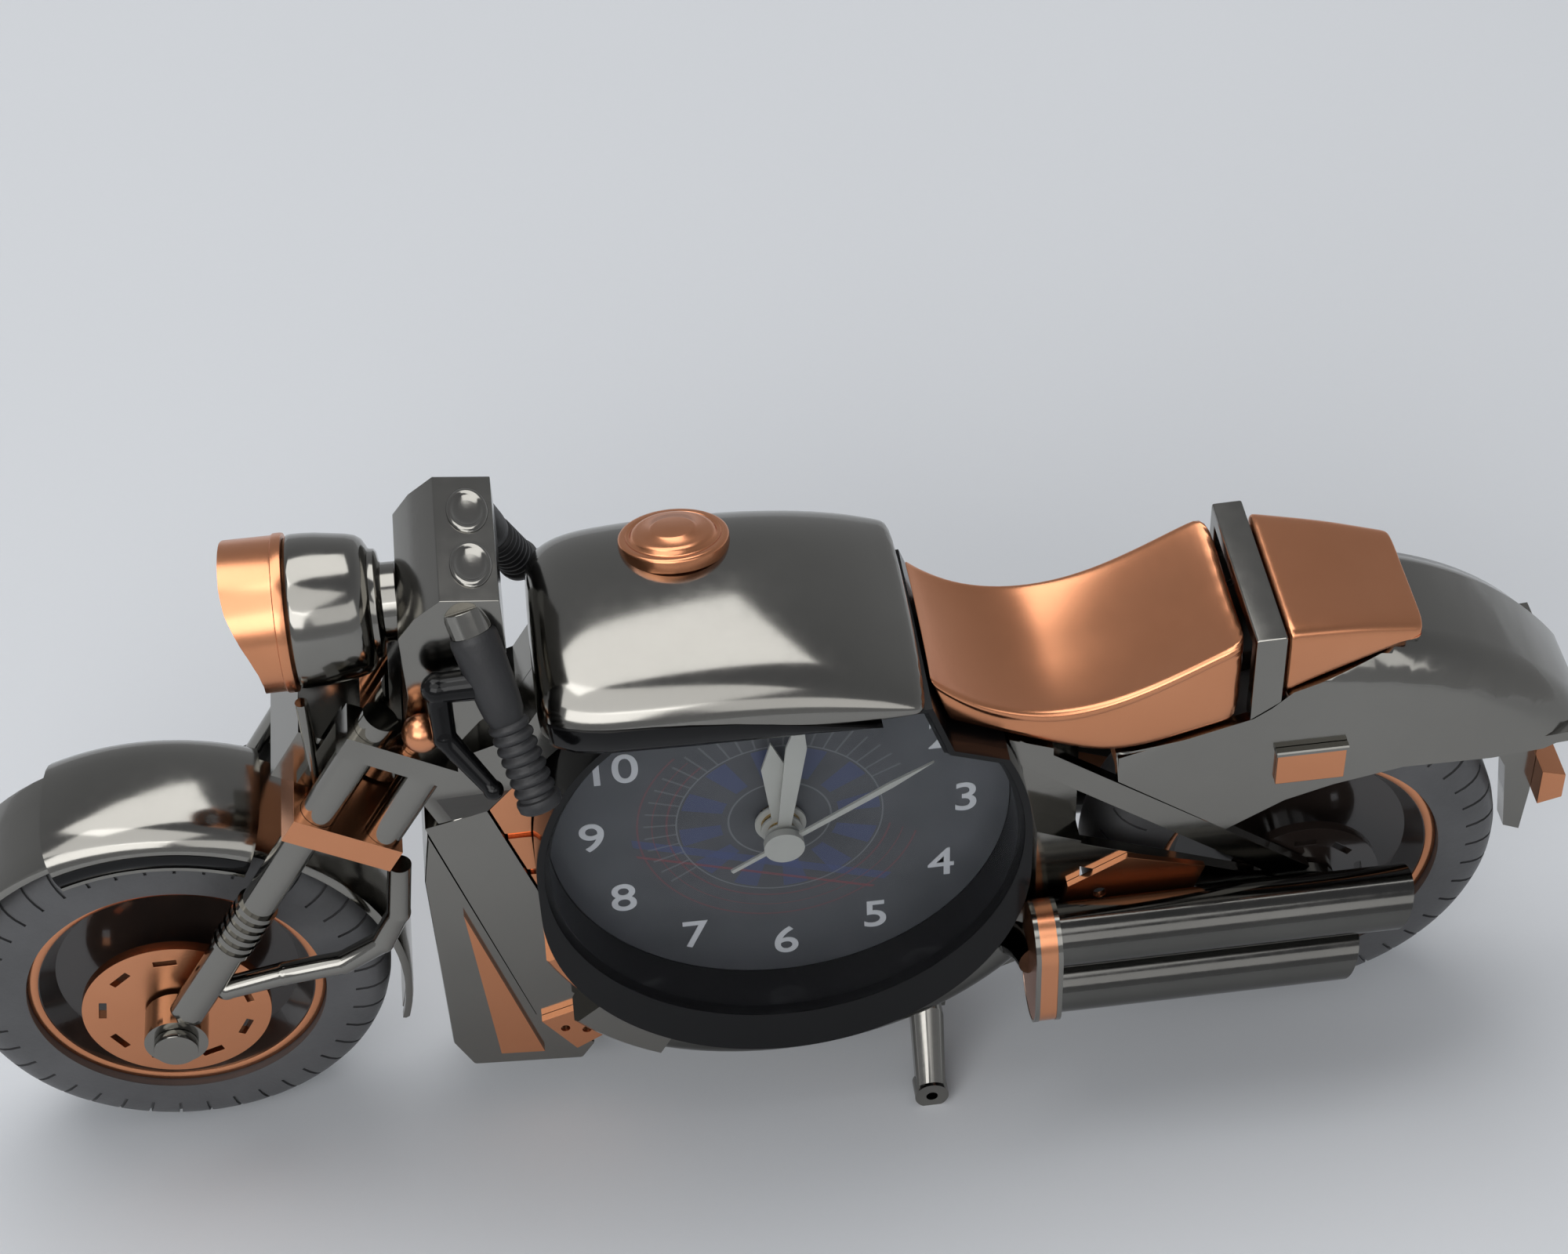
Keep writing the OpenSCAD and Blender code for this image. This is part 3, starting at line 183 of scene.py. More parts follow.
def objectPlace(wire, stretch=(1, 1, 1), middle=(0, 0, 0)):
    place = wire.add("ShaderNodeTexCoord", output="Object")
    shift = [-a * b for a, b in zip(middle, stretch)]
    return wire.add("ShaderNodeMapping", {"vector_type": "POINT"},
                    {"Vector": place, "Location": shift, "Scale": stretch})


def noise(wire, place, scale, detail=3.0, rough=0.55):
    return wire.add("ShaderNodeTexNoise", {"noise_dimensions": "3D"},
                    {"Vector": place, "Scale": scale, "Detail": detail, "Roughness": rough})


def bumpOf(wire, height, strength, distance):
    return wire.add("ShaderNodeBump", None, {"Height": height, "Strength": strength, "Distance": distance})


# finishes

noiseMiddle = 0.5                                      # what a noise gives on the average

platingLook = {
    "gunmetal": {"base": (0.255, 0.248, 0.228), "dark": (0.225, 0.218, 0.20),
                 "rough": 0.12, "spread": 0.06, "grain": 0.015},
    "copper": {"base": (0.72, 0.32, 0.17), "dark": (0.64, 0.272, 0.138),
               "rough": 0.25, "spread": 0.03, "grain": 0.012},
    "steel": {"base": (0.60, 0.60, 0.61), "dark": (0.48, 0.48, 0.49),
              "rough": 0.18, "spread": 0.14, "grain": 0.05},
    "brass": {"base": (0.76, 0.56, 0.25), "dark": (0.62, 0.44, 0.18),
              "rough": 0.24, "spread": 0.14, "grain": 0.06},
    "magnet": {"base": (0.28, 0.28, 0.30), "dark": (0.20, 0.20, 0.22),
               "rough": 0.34, "spread": 0.16, "grain": 0.08},
    # a darker copy of the gunmetal plating: painted shade that dims the reflections on the exhausts and their
    # bends
    "shadedGunmetal": {"base": (0.13, 0.128, 0.12), "dark": (0.10, 0.098, 0.092),
               "rough": 0.10, "spread": 0.12, "grain": 0.03},
    "winding": {"base": (0.60, 0.26, 0.10), "dark": (0.36, 0.13, 0.05),
                "rough": 0.30, "spread": 0.10, "grain": 0.10},
}
platingNoise = {
    "cloudScale": 45.0, "cloudFrom": 0.35, "cloudTone": 1.6,
    "hazeScale": 320.0, "hazeStretch": (1, 1, 3.2), "hazeFrom": 0.40, "hazeRough": 2.0,
    "speckScale": 1900.0, "speckTone": 0.25, "speckBump": 0.7, "bumpHeight": 0.12 * mm,
}


def platedFinish(name, look, marks):
    material, shader, wire = newFinish(name)
    place = objectPlace(wire)
    clouds = noise(wire, place, marks["cloudScale"], detail=4.0)
    stretched = objectPlace(wire, marks["hazeStretch"])
    haze = noise(wire, stretched, marks["hazeScale"], detail=5.0, rough=0.62)
    specks = noise(wire, place, marks["speckScale"], detail=2.0)
    tone = (clouds - marks["cloudFrom"]) * marks["cloudTone"] + (specks - noiseMiddle) * marks["speckTone"]
    dulled = (haze - marks["hazeFrom"]).most(0.0) * look["spread"] * marks["hazeRough"]
    feed(shader, {
        "Base Color": tone.blend(look["dark"], look["base"]),
        "Metallic": 1.0,
        "Roughness": look["rough"] + dulled,
        "Normal": bumpOf(wire, specks * marks["speckBump"] + haze, look["grain"], marks["bumpHeight"]),
    })
    return material


mouldLook = {
    "wheel_black": {"base": (0.030, 0.021, 0.018), "dark": (0.016, 0.012, 0.010),
                    "rough": 0.13, "coat": 0.6, "grain": 0.03},
    "black_plastic": {"base": (0.005, 0.005, 0.0055), "dark": (0.003, 0.003, 0.0033),
                      "rough": 0.14, "coat": 0.0, "grain": 0.0, "gloss": 0.22, "wear": 0.04},
    "grip_rubber": {"base": (0.024, 0.024, 0.026), "dark": (0.013, 0.013, 0.014),
                    "rough": 0.52, "coat": 0.0, "grain": 0.35},
    "tyre": {"base": (0.115, 0.115, 0.118), "dark": (0.072, 0.072, 0.074),
             "rough": 0.42, "coat": 0.0, "grain": 0.25},
    "movement_plastic": {"base": (0.80, 0.80, 0.76), "dark": (0.70, 0.70, 0.66),
                         "rough": 0.45, "coat": 0.0, "grain": 0.12},
    "board": {"base": (0.05, 0.22, 0.10), "dark": (0.03, 0.14, 0.06),
              "rough": 0.40, "coat": 0.2, "grain": 0.10},
    "cell": {"base": (0.11, 0.13, 0.16), "dark": (0.07, 0.08, 0.10),
             "rough": 0.32, "coat": 0.3, "grain": 0.05},
    "hand_lume": {"base": (0.62, 0.62, 0.57), "dark": (0.50, 0.50, 0.46),
                  "rough": 0.48, "coat": 0.0, "grain": 0.10},
}
mouldNoise = {
    "cloudScale": 70.0, "cloudFrom": 0.3, "cloudTone": 1.7, "cloudBump": 0.4,
    "grainScale": 1500.0, "grainTone": 0.3, "grainRough": 0.16, "bumpHeight": 0.15 * mm,
    "wearScale": 210.0, "usualWear": 0.5, "usualGloss": 0.5, "coatRough": 0.06,
}


def mouldedFinish(name, look, marks):
    material, shader, wire = newFinish(name)
    place = objectPlace(wire)
    clouds = noise(wire, place, marks["cloudScale"], detail=4.0)
    grain = noise(wire, place, marks["grainScale"], rough=0.6)
    wear = (noise(wire, place, marks["wearScale"], detail=5.0, rough=0.65) - noiseMiddle).most(0.0)
    fine = grain - noiseMiddle
    tone = (clouds - marks["cloudFrom"]) * marks["cloudTone"] + fine * marks["grainTone"]
    worn = (wear + fine * marks["grainRough"]) * look.get("wear", marks["usualWear"])
    feed(shader, {
        "Base Color": tone.blend(look["dark"], look["base"]),
        "Roughness": look["rough"] + worn,
        "Coat Weight": look["coat"],
        "Coat Roughness": marks["coatRough"],
        "Specular IOR Level": look.get("gloss", marks["usualGloss"]),
        "Normal": bumpOf(wire, grain + clouds * marks["cloudBump"], look["grain"], marks["bumpHeight"]),
    })
    return material


# a generic dial print of fans, arcs, rays and bands, in mm from the dial's middle

dialLook = {
    "ground": (0.080, 0.083, 0.090),
    "glow": (0.125, 0.129, 0.141),
    "blue": (0.075, 0.100, 0.24),
    "red": (0.26, 0.075, 0.085),
    "pale": (0.30, 0.31, 0.33),
    "fans": {"count": 12, "offset": 0.25, "half": 0.24, "from": 8.5, "to": 14.5, "ink": 0.55},
    "rays": {"count": 48, "half": 0.07, "from": 15.0, "to": 19.6, "tilt": 0.6, "below": 3, "ink": 0.30},
    "arcs": {"lines": [(20.5, 0.16), (18.4, 0.10), (16.3, 0.16)], "tilt": 0.6, "below": 6, "ink": 0.45},
    "collars": {"lines": [(7.4, 0.14), (14.9, 0.12)], "ink": 0.45},
    "slope": 0.35, "bandEnd": 21.5,
    "band": {"at": -9.5, "half": 0.8, "ink": 0.6},
    "thin": {"at": -12.2, "half": 0.25, "ink": 0.7},
    "mistScale": 0.09, "mistFrom": 0.35, "mistTone": 1.8,
    "grainScale": 3.0, "rough": 0.34, "grainRough": 0.12, "grain": 0.05, "bumpHeight": 0.1 * mm,
}


def linesAt(value, lines):
    marked = 0.0
    for middle, half in lines:
        marked = value.near(middle, half) + marked
    return marked


def dialFinish(name, look):
    material, shader, wire = newFinish(name)
    place = objectPlace(wire, (1 / mm, 1 / mm, 1 / mm), tuple(dialCentre))
    across = wire.add("ShaderNodeSeparateXYZ", None, {0: place}, 0)
    up = wire.add("ShaderNodeSeparateXYZ", None, {0: place}, 2)
    reach = (across * across + up * up).power(0.5)
    turn = wire.math("ARCTAN2", up, across) * (1 / math.tau)
    fan, ray, arc, collar = look["fans"], look["rays"], look["arcs"], look["collars"]
    band, thin = look["band"], look["thin"]
    fans = (turn * fan["count"] + fan["offset"]).stripes(fan["half"]) * reach.between(fan["from"], fan["to"])
    rays = (turn * ray["count"]).stripes(ray["half"]) * reach.between(ray["from"], ray["to"])
    rays = rays * (across * ray["tilt"] - up < ray["below"])
    arcs = linesAt(reach, arc["lines"]) * (across * arc["tilt"] + up < arc["below"])
    collars = linesAt(reach, collar["lines"]).least(1.0)
    slant = across * look["slope"] + up
    onBand = reach < look["bandEnd"]
    paint = (noise(wire, place, look["mistScale"], detail=4.0) - look["mistFrom"]) * look["mistTone"]
    paint = paint.blend(look["ground"], look["glow"])
    paint = (fans * fan["ink"]).blend(paint, look["blue"])
    paint = (slant.near(band["at"], band["half"]) * onBand * band["ink"]).blend(paint, look["blue"])
    paint = (slant.near(thin["at"], thin["half"]) * onBand * thin["ink"]).blend(paint, look["red"])
    paint = (arcs.least(1.0) * arc["ink"]).blend(paint, look["red"])
    paint = (rays * ray["ink"] + collars * collar["ink"]).least(1.0).blend(paint, look["pale"])
    grain = noise(wire, place, look["grainScale"])
    feed(shader, {
        "Base Color": paint,
        "Roughness": look["rough"] + (grain - noiseMiddle) * look["grainRough"],
        "Normal": bumpOf(wire, grain, look["grain"], look["bumpHeight"]),
    })
    return material


clearLook = {
    "tint": (0.95, 0.955, 0.96), "body": (0.02, 0.02, 0.022), "gloss": 0.9,
    "veil": 0.045, "edge": 0.85, "edgeCurve": 4.0, "rough": 0.05,
    "smearScale": 55.0, "smearFrom": 0.4, "smearRough": 0.12, "smearVeil": 0.02,
}


def clearFinish(name, look):                           # gloss grows towards the edge, the rest passes through
    material, shader, wire = newFinish(name)
    smear = noise(wire, objectPlace(wire), look["smearScale"], detail=4.0)
    facing = wire.add("ShaderNodeLayerWeight", None, {"Blend": 0.5}, 1).power(look["edgeCurve"])
    feed(shader, {
        "Base Color": shade(look["body"]),
        "Roughness": look["rough"] + (smear - look["smearFrom"]).most(0.0) * look["smearRough"],
        "Specular IOR Level": look["gloss"],
    })
    passing = wire.add("ShaderNodeBsdfTransparent", None, {"Color": shade(look["tint"])})
    gloss = Wire(wire.tree, shader.outputs[0])
    share = facing * look["edge"] + look["veil"] + (smear - noiseMiddle) * look["smearVeil"]
    mixed = wire.add("ShaderNodeMixShader", None, {0: share.least(1.0).most(0.0), 1: passing, 2: gloss})
    output = wire.tree.nodes["Material Output"]
    wire.tree.links.new(mixed.socket, output.inputs["Surface"])
    return material


finishes = {name: platedFinish(name + "Finish", look, platingNoise) for name, look in platingLook.items()}
finishes.update({name: mouldedFinish(name + "Finish", look, mouldNoise) for name, look in mouldLook.items()})
finishes["dial_print"] = dialFinish("dialPrintFinish", dialLook)
finishes["clear"] = clearFinish("clearFinish", clearLook)
print("finishes made:", len(finishes))

# modelling helpers

copyMerge = 0.004 * mm                                 # corners of an imported node closer than this are one
spinMerge = 0.002 * mm
flatDegrees = 0.6                                      # faces of a copied node within this angle become one


def deselectAll():
    if bpy.context.object and bpy.context.object.mode != "OBJECT":
        bpy.ops.object.mode_set(mode="OBJECT")
    bpy.ops.object.select_all(action="DESELECT")


def takeUp(piece):
    deselectAll()
    piece.select_set(True)
    bpy.context.view_layer.objects.active = piece


def joined(pieces, name):
    takeUp(pieces[0])
    for piece in pieces:
        piece.select_set(True)
    bpy.ops.object.join()
    pieces[0].name = name
    return pieces[0]


def pick(piece, kind, test):                           # selects vertices, edges or faces by place
    takeUp(piece)
    bpy.ops.object.mode_set(mode="EDIT")
    bpy.ops.mesh.select_mode(type={"vertices": "VERT", "edges": "EDGE", "polygons": "FACE"}[kind])
    bpy.ops.mesh.select_all(action="DESELECT")
    bpy.ops.object.mode_set(mode="OBJECT")
    for item in getattr(piece.data, kind):
        item.select = bool(test(item))
    bpy.ops.object.mode_set(mode="EDIT")


def applyModifier(piece, kind, **settings):
    takeUp(piece)
    bpy.ops.object.modifier_add(type=kind)
    modifier = piece.modifiers[-1]
    for name, value in settings.items():
        setattr(modifier, name, value)
    bpy.ops.object.modifier_apply(modifier=modifier.name)


def smoothByAngle(piece, degrees):
    takeUp(piece)
    bpy.ops.object.shade_smooth_by_angle(angle=math.radians(degrees))


def finishPiece(piece, body, slot, material=None):
    takeUp(piece)
    bpy.ops.object.transform_apply(location=True, rotation=True, scale=True)
    piece.data.materials.clear()
    piece.data.materials.append(material or finishes[slot])
    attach(piece, body)
    return piece


def ringOutline(name, points):                         # a circle whose corners are laid on an outline, in mm
    deselectAll()
    bpy.ops.mesh.primitive_circle_add(vertices=len(points), radius=0.01, fill_type="NOTHING")
    piece = bpy.context.object
    piece.name = name
    for corner, point in zip(piece.data.vertices, points):
        corner.co = Vector(point) * mm
    return piece


def spinPiece(piece, centre, turns, axis=(0, 1, 0)):   # an outline turned once about an axis
    takeUp(piece)
    bpy.ops.object.mode_set(mode="EDIT")
    bpy.ops.mesh.select_all(action="SELECT")
    bpy.ops.mesh.spin(steps=turns, angle=math.tau, center=centre, axis=axis)
    bpy.ops.mesh.select_all(action="SELECT")
    bpy.ops.mesh.remove_doubles(threshold=spinMerge)
    bpy.ops.mesh.normals_make_consistent(inside=False)
    bpy.ops.object.mode_set(mode="OBJECT")


def loftPiece(name, rings, capped=True):               # rings of equal count, bridged one after the other
    piece = joined([ringOutline(name, ring) for ring in rings], name)
    bpy.ops.object.mode_set(mode="EDIT")
    bpy.ops.mesh.select_mode(type="EDGE")
    bpy.ops.mesh.select_all(action="SELECT")
    bpy.ops.mesh.bridge_edge_loops()
    bpy.ops.mesh.select_all(action="SELECT")
    if capped:
        bpy.ops.mesh.fill_holes(sides=0)
        bpy.ops.mesh.select_all(action="SELECT")
    bpy.ops.mesh.normals_make_consistent(inside=False)
    bpy.ops.object.mode_set(mode="OBJECT")
    return piece


def along(points, x):                                  # height or width of an outline at one place
    for (startX, start), (stopX, stop) in zip(points, points[1:]):
        if x <= stopX:
            return start + (stop - start) * max(0.0, (x - startX) / (stopX - startX))
    return points[-1][1]


def turnSteps(start, stop, step):                      # even steps from start to stop
    count = max(1, round((stop - start) / step))
    return [start + (stop - start) * i / count for i in range(count + 1)]


def nodeCopy(node, rounding, degrees=34, segments=2, material=None):
    source = frame["nodes"][node]
    piece = bpy.data.objects.new(node + "Form", source.data.copy())
    bpy.context.collection.objects.link(piece)
    takeUp(piece)
    bpy.ops.mesh.customdata_custom_splitnormals_clear()
    bpy.ops.object.mode_set(mode="EDIT")
    bpy.ops.mesh.select_all(action="SELECT")
    bpy.ops.mesh.remove_doubles(threshold=copyMerge)
    if rounding:
        bpy.ops.mesh.dissolve_limited(angle_limit=math.radians(flatDegrees))
    bpy.ops.object.mode_set(mode="OBJECT")
    if rounding:
        applyModifier(piece, "BEVEL", width=rounding * mm, segments=segments, limit_method="ANGLE",
                      angle_limit=math.radians(degrees), use_clamp_overlap=True, harden_normals=False)
    smoothByAngle(piece, degrees)
    if rounding:
        applyModifier(piece, "WEIGHTED_NORMAL", keep_sharp=True, weight=80)
    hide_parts(node)
    return finishPiece(piece, bodyOfNode[node], slotOfNode[node], material)


# pieces that keep their construction form, with edges eased by so many mm

easedNodes = {
    "fork_legs": 0, "lower_yoke": 0.25, "upper_yoke": 0.25, "headlight_lens": 0, "nacelle": 0.9, "levers": 0,
    "turn_lamps": 0, "front_axle": 0.15, "rear_axle": 0, "steering_head": 0, "frame_left": 0.3,
    "frame_right": 0.3, "front_cowl": 0.4, "engine_block": 0.2, "copper_trim": 0.15, "seat_band": 0.35,
    "rear_fender": 0.25, "reflectors": 0.15, "exhausts": 0, "stand": 0.2, "front_rim": 0, "rear_rim": 0,
    "front_discs": 0.1, "rear_discs": 0.1, "clock_housing": 0, "rear_housing": 0.2, "crystal": 0, "dial": 0,
    "hour_hand": 0.06, "minute_hand": 0.06, "second_hand": 0, "alarm_hand": 0.06, "battery_cover": 0.15,
    "alarm_knob": 0, "minute_wheel": 0, "alarm_switch": 0.1, "screws": 0,
}
# the exhausts take the darker gunmetal copy, painted shade
otherFinish = {"exhausts": "shadedGunmetal", "front_axle": "gunmetal"}
for node, rounding in easedNodes.items():
    nodeCopy(node, rounding, material=finishes.get(otherFinish.get(node)))
print("eased pieces:", len(easedNodes))

# tyres with shoulder grooves, and a copper ring on each rim lip

wheelLook = {
    "tyreRadius": axleHeight, "rimRadius": 21.8, "halfWidth": 7.5, "crown": 0.5, "shoulder": 0.6,
    "steps": 16, "turns": 360, "smooth": 40,
    "grooveEvery": 9, "grooveDeep": 0.45, "grooveFrom": 24.4, "grooveTo": 31.2, "grooveSide": 2.4,
    "ringFrom": 20.15, "ringTo": 21.7, "ringOut": 6.4, "ringIn": 5.9, "ringEase": 0.3, "ringDrop": 0.2,
    "ringTurns": 120, "ringSmooth": 50,
}


def tyreCorner(look, turn):                            # half a circle, made fuller by two powers
    beside, up = math.cos(turn), math.sin(turn)
    rise = look["tyreRadius"] - look["rimRadius"]
    reach = look["rimRadius"] + rise * max(up, 0) ** look["crown"]
    return reach, -math.copysign(abs(beside) ** look["shoulder"], beside) * look["halfWidth"]


def addTyre(name, node, centre, look):
    corners = [tyreCorner(look, math.pi * i / look["steps"]) for i in range(look["steps"] + 1)]
    tyre = ringOutline(name, [(centre.x / mm + r, y, centre.z / mm) for r, y in corners])
    spinPiece(tyre, centre, look["turns"])

    def onGroove(face):
        away = face.center - centre
        step = round(math.degrees(math.atan2(away.z, away.x)) - 0.5)     # each face is a degree long
        inReach = look["grooveFrom"] < math.hypot(away.x, away.z) / mm < look["grooveTo"]
        return step % look["grooveEvery"] == 0 and inReach and abs(away.y) / mm > look["grooveSide"]

    pick(tyre, "polygons", onGroove)
    bpy.ops.mesh.extrude_region_shrink_fatten(TRANSFORM_OT_shrink_fatten={"value": -look["grooveDeep"] * mm})
    bpy.ops.object.mode_set(mode="OBJECT")
    smoothByAngle(tyre, look["smooth"])
    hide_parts(node)
    finishPiece(tyre, bodyOfNode[node], "tyre")


def addRimRing(name, body, centre, side, look):
    low, high, drop = look["ringIn"] * side, look["ringOut"] * side, look["ringDrop"] * side
    inner, outer, ease = look["ringFrom"], look["ringTo"], look["ringEase"]
    corners = [(inner, low), (inner, high - drop), (inner + ease, high)]
    corners += [(outer - ease, high), (outer, high - drop), (outer, low)]
    ring = ringOutline(name, [(centre.x / mm + r, y, centre.z / mm) for r, y in corners])
    spinPiece(ring, centre, look["ringTurns"])
    smoothByAngle(ring, look["ringSmooth"])
    finishPiece(ring, body, "copper")


for end, centre in (("front", frontAxle), ("rear", rearAxle)):
    addTyre(end + "Tyre", end + "_tyre", centre, wheelLook)
    for side, word in sides:
        addRimRing(end + "RimRing" + word, end + "_wheel", centre, side, wheelLook)
print("tyres and rim rings made")

# fuel tank, drawn out ring by ring from one section; a station is its place, half width and top

tankLook = {
    "low": 84.5, "wall": 1.3, "near": 0.02, "smooth": 55,
    "section": [(0.90, 0.0), (0.965, 0.07), (0.995, 0.18), (1.0, 0.30), (0.985, 0.44), (0.93, 0.60),
                (0.83, 0.745), (0.68, 0.865), (0.48, 0.95), (0.25, 0.99)],
    "stations": [(-26.4, 13.6, 91.2), (-25.8, 16.0, 92.8), (-24.4, 17.9, 94.0), (-21.5, 19.5, 95.0),
                 (-17, 20.3, 95.6), (-6, 20.6, 96.05), (5, 20.6, 95.5), (13, 20.5, 94.0),
                 (20, 20.2, 91.6), (25, 19.5, 88.9), (26.6, 19.1, 88.0)],
}


def addTank(look):
    low, stations = look["low"], look["stations"]
    x, half, top = stations[0]
    arch = [(y * half, low + z * (top - low)) for y, z in look["section"]]
    arch = arch + [(0, top)] + [(-y, z) for y, z in reversed(arch)]
    tank = ringOutline("fuelTank", [(rowX(x), y, z) for y, z in arch])

    def isLow(corner):
        return corner.co.z < (low + look["near"]) * mm

    def isAt(corner, place):
        return abs(corner.co.x - rowX(place) * mm) < look["near"] * mm

    def pickEdges(test):
        pick(tank, "edges", lambda edge: all(test(tank.data.vertices[i]) for i in edge.vertices))

    pickEdges(isLow)
    bpy.ops.mesh.delete(type="EDGE")
    bpy.ops.object.mode_set(mode="OBJECT")
    for nextX, nextHalf, nextTop in stations[1:]:
        pickEdges(lambda corner: isAt(corner, x))
        bpy.ops.mesh.extrude_edges_move(TRANSFORM_OT_translate={"value": ((nextX - x) * mm, 0, 0)})
        bpy.ops.transform.resize(value=(1, nextHalf / half, (nextTop - low) / (top - low)),
                                 center_override=(rowX(nextX) * mm, 0, low * mm))
        bpy.ops.object.mode_set(mode="OBJECT")
        x, half, top = nextX, nextHalf, nextTop
    for end in (stations[0][0], stations[-1][0]):
        pick(tank, "vertices", lambda corner: isAt(corner, end))
        bpy.ops.mesh.edge_face_add()
        bpy.ops.object.mode_set(mode="OBJECT")
    takeUp(tank)
    bpy.ops.object.mode_set(mode="EDIT")
    bpy.ops.mesh.select_all(action="SELECT")
    bpy.ops.mesh.normals_make_consistent(inside=False)
    bpy.ops.object.mode_set(mode="OBJECT")
    applyModifier(tank, "SUBSURF", levels=2, render_levels=2)
    applyModifier(tank, "SOLIDIFY", thickness=look["wall"] * mm, offset=-1)
    smoothByAngle(tank, look["smooth"])
    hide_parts("fuel_tank")
    finishPiece(tank, "chassis", "gunmetal")


addTank(tankLook)
print("tank drawn")

# front fender: a thin inner band and a rounded cap over the tyre, with a lip and a dark strip on each side;
# the dark strip is painted reflection, a black band for the dark that the cap's lower edge mirrors

fenderLook = {
    "bandFrom": -72, "bandTo": 106, "bandStep": 4, "bandWall": 1.2,
    "band": [(33.4, 9.4), (33.9, 9.4), (34.45, 9.0), (34.6, 8.2), (34.6, 4.5), (34.6, 0.0)],
    "capFrom": -21, "capTo": 27, "capStep": 3, "capWall": 1.2,
    "cap": [(31.0, 11.0), (32.4, 11.04), (33.6, 10.95), (34.7, 10.55), (35.7, 9.75), (36.5, 8.6), (37.1, 7.1),
            (37.5, 5.2), (37.72, 2.8), (37.8, 0.0)],
    "lip": [(30.95, 11.02), (30.95, 11.30), (31.25, 11.34), (31.55, 11.30), (31.55, 11.02)],
    # the dark strip is painted reflection along the cap's lower edge
    "dark": [(31.6, 11.08), (31.7, 11.20), (32.6, 11.24), (33.4, 11.16), (33.75, 11.02)],
    "stripWall": 0.5, "smooth": 40, "stripSmooth": 50,
}


def aboutFrontAxle(section, turn):
    across, up = math.sin(math.radians(turn)), math.cos(math.radians(turn))
    base = frontAxle / mm
    return [(base.x + r * across, y, base.z + r * up) for r, y in section]


def archRing(outline, wall, turn):                     # half a section, mirrored and closed by its own wall
    chain = [(r, -y) for r, y in outline] + [(r, y) for r, y in reversed(outline[:-1])]
    shoulder, narrower = outline[2][1], 1 - wall / outline[0][1]
    inner = [(r - (wall if abs(y) < shoulder else 0.0), y * narrower) for r, y in reversed(chain)]
    return aboutFrontAxle(chain + inner, turn)


def stripRing(outline, wall, turn):                    # a strip on one side, closed by its own wall
    return aboutFrontAxle(outline + [(r, y + wall) for r, y in reversed(outline)], turn)


def addFender(look):
    body = bodyOfNode["front_fender"]
    turns = {
        "band": turnSteps(look["bandFrom"], look["bandTo"], look["bandStep"]),
        "cap": turnSteps(look["capFrom"], look["capTo"], look["capStep"]),
    }
    for key in ("band", "cap"):
        rings = [archRing(look[key], look[key + "Wall"], turn) for turn in turns[key]]
        piece = loftPiece("frontFender" + key.title(), rings)
        smoothByAngle(piece, look["smooth"])
        finishPiece(piece, body, "gunmetal")
    for side, word in sides:
        # the lips are plated; the dark strips are painted reflection, in black
        for key, slot in (("lip", "gunmetal"), ("dark", "black_plastic")):
            outline = [(r, y * side) for r, y in look[key]]
            rings = [stripRing(outline, -look["stripWall"] * side, turn) for turn in turns["cap"]]
            piece = loftPiece("fender" + key.title() + word, rings)
            smoothByAngle(piece, look["stripSmooth"])
            finishPiece(piece, body, slot)
    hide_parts("front_fender")


addFender(fenderLook)
print("fender lofted")

# saddle and pad, lofted through stations with a rolled edge
# a point of a side is a share of the half width and a lift from the underside, 0, or from the top, 1

seatLook = {
    "top": [(27.6, 84.6), (30, 82.2), (34.5, 78.9), (40, 76.8), (46, 76), (52, 76.9), (58, 79.1), (64, 82.2),
            (69, 85), (72.5, 86.4), (78, 86.5), (88, 84.9), (98, 82.4)],
    "under": [(30.6, 75.7), (54, 66.2), (73, 71.6), (78.6, 75.4), (97.6, 80.6)],
    "half": [(27, 12.6), (45, 13.9), (73, 13.9), (98.5, 10.6)],
    "saddle": [(27.6, 30.6), (28.2, 30.9), (30, 32.2), (34.5, 35.6), (40, 40.4), (46, 46), (52, 52), (58, 58),
               (64, 64), (69, 69), (72.3, 72.3)],
    "pad": [(77.1, 77.1), (78, 78), (82, 82), (88, 88), (93, 92.8), (96.2, 95.9), (97.3, 97.0)],
    "saddleSide": [(0.90, 0.0, 0), (0.97, 0.5, 0), (1.0, 1.8, 0), (0.998, -3.6, 1), (0.984, -2.0, 1),
                   (0.978, -1.5, 1), (0.992, -1.0, 1), (0.978, -0.3, 1), (0.93, 0.0, 1), (0.86, -0.22, 1),
                   (0.60, -0.55, 1), (0.30, -0.72, 1)],
    "padSide": [(0.90, 0.0, 0), (0.97, 0.3, 0), (1.0, 1.0, 0), (1.0, -2.6, 1), (0.985, -1.3, 1),
                (0.955, -0.55, 1), (0.89, -0.15, 1), (0.78, 0.0, 1), (0.55, 0.0, 1), (0.28, 0.0, 1)],
    "noseShrink": 0.95, "tailShrink": 0.93, "tailTop": 0.45, "tailUnder": 0.3, "smooth": 60,
}


def seatRing(look, side, topX, underX, shrink=1.0):    # a section that leans from its top to its underside
    top, under = along(look["top"], topX), along(look["under"], underX)
    half = along(look["half"], topX) * shrink
    middle = (top + under) / 2
    chain = []
    for share, lift, level in side:
        z = min(max((top if level else under) + lift, under), top)
        chain.append((share * half, middle + (z - middle) * shrink))
    lowest, highest = chain[0][1], chain[-1][1]
    chain = [(0, lowest)] + chain + [(0, highest)] + [(-y, z) for y, z in reversed(chain)]
    lean = (underX - topX) / (top - under)
    return [(rowX(topX + lean * (top - z)), y, z) for y, z in chain]


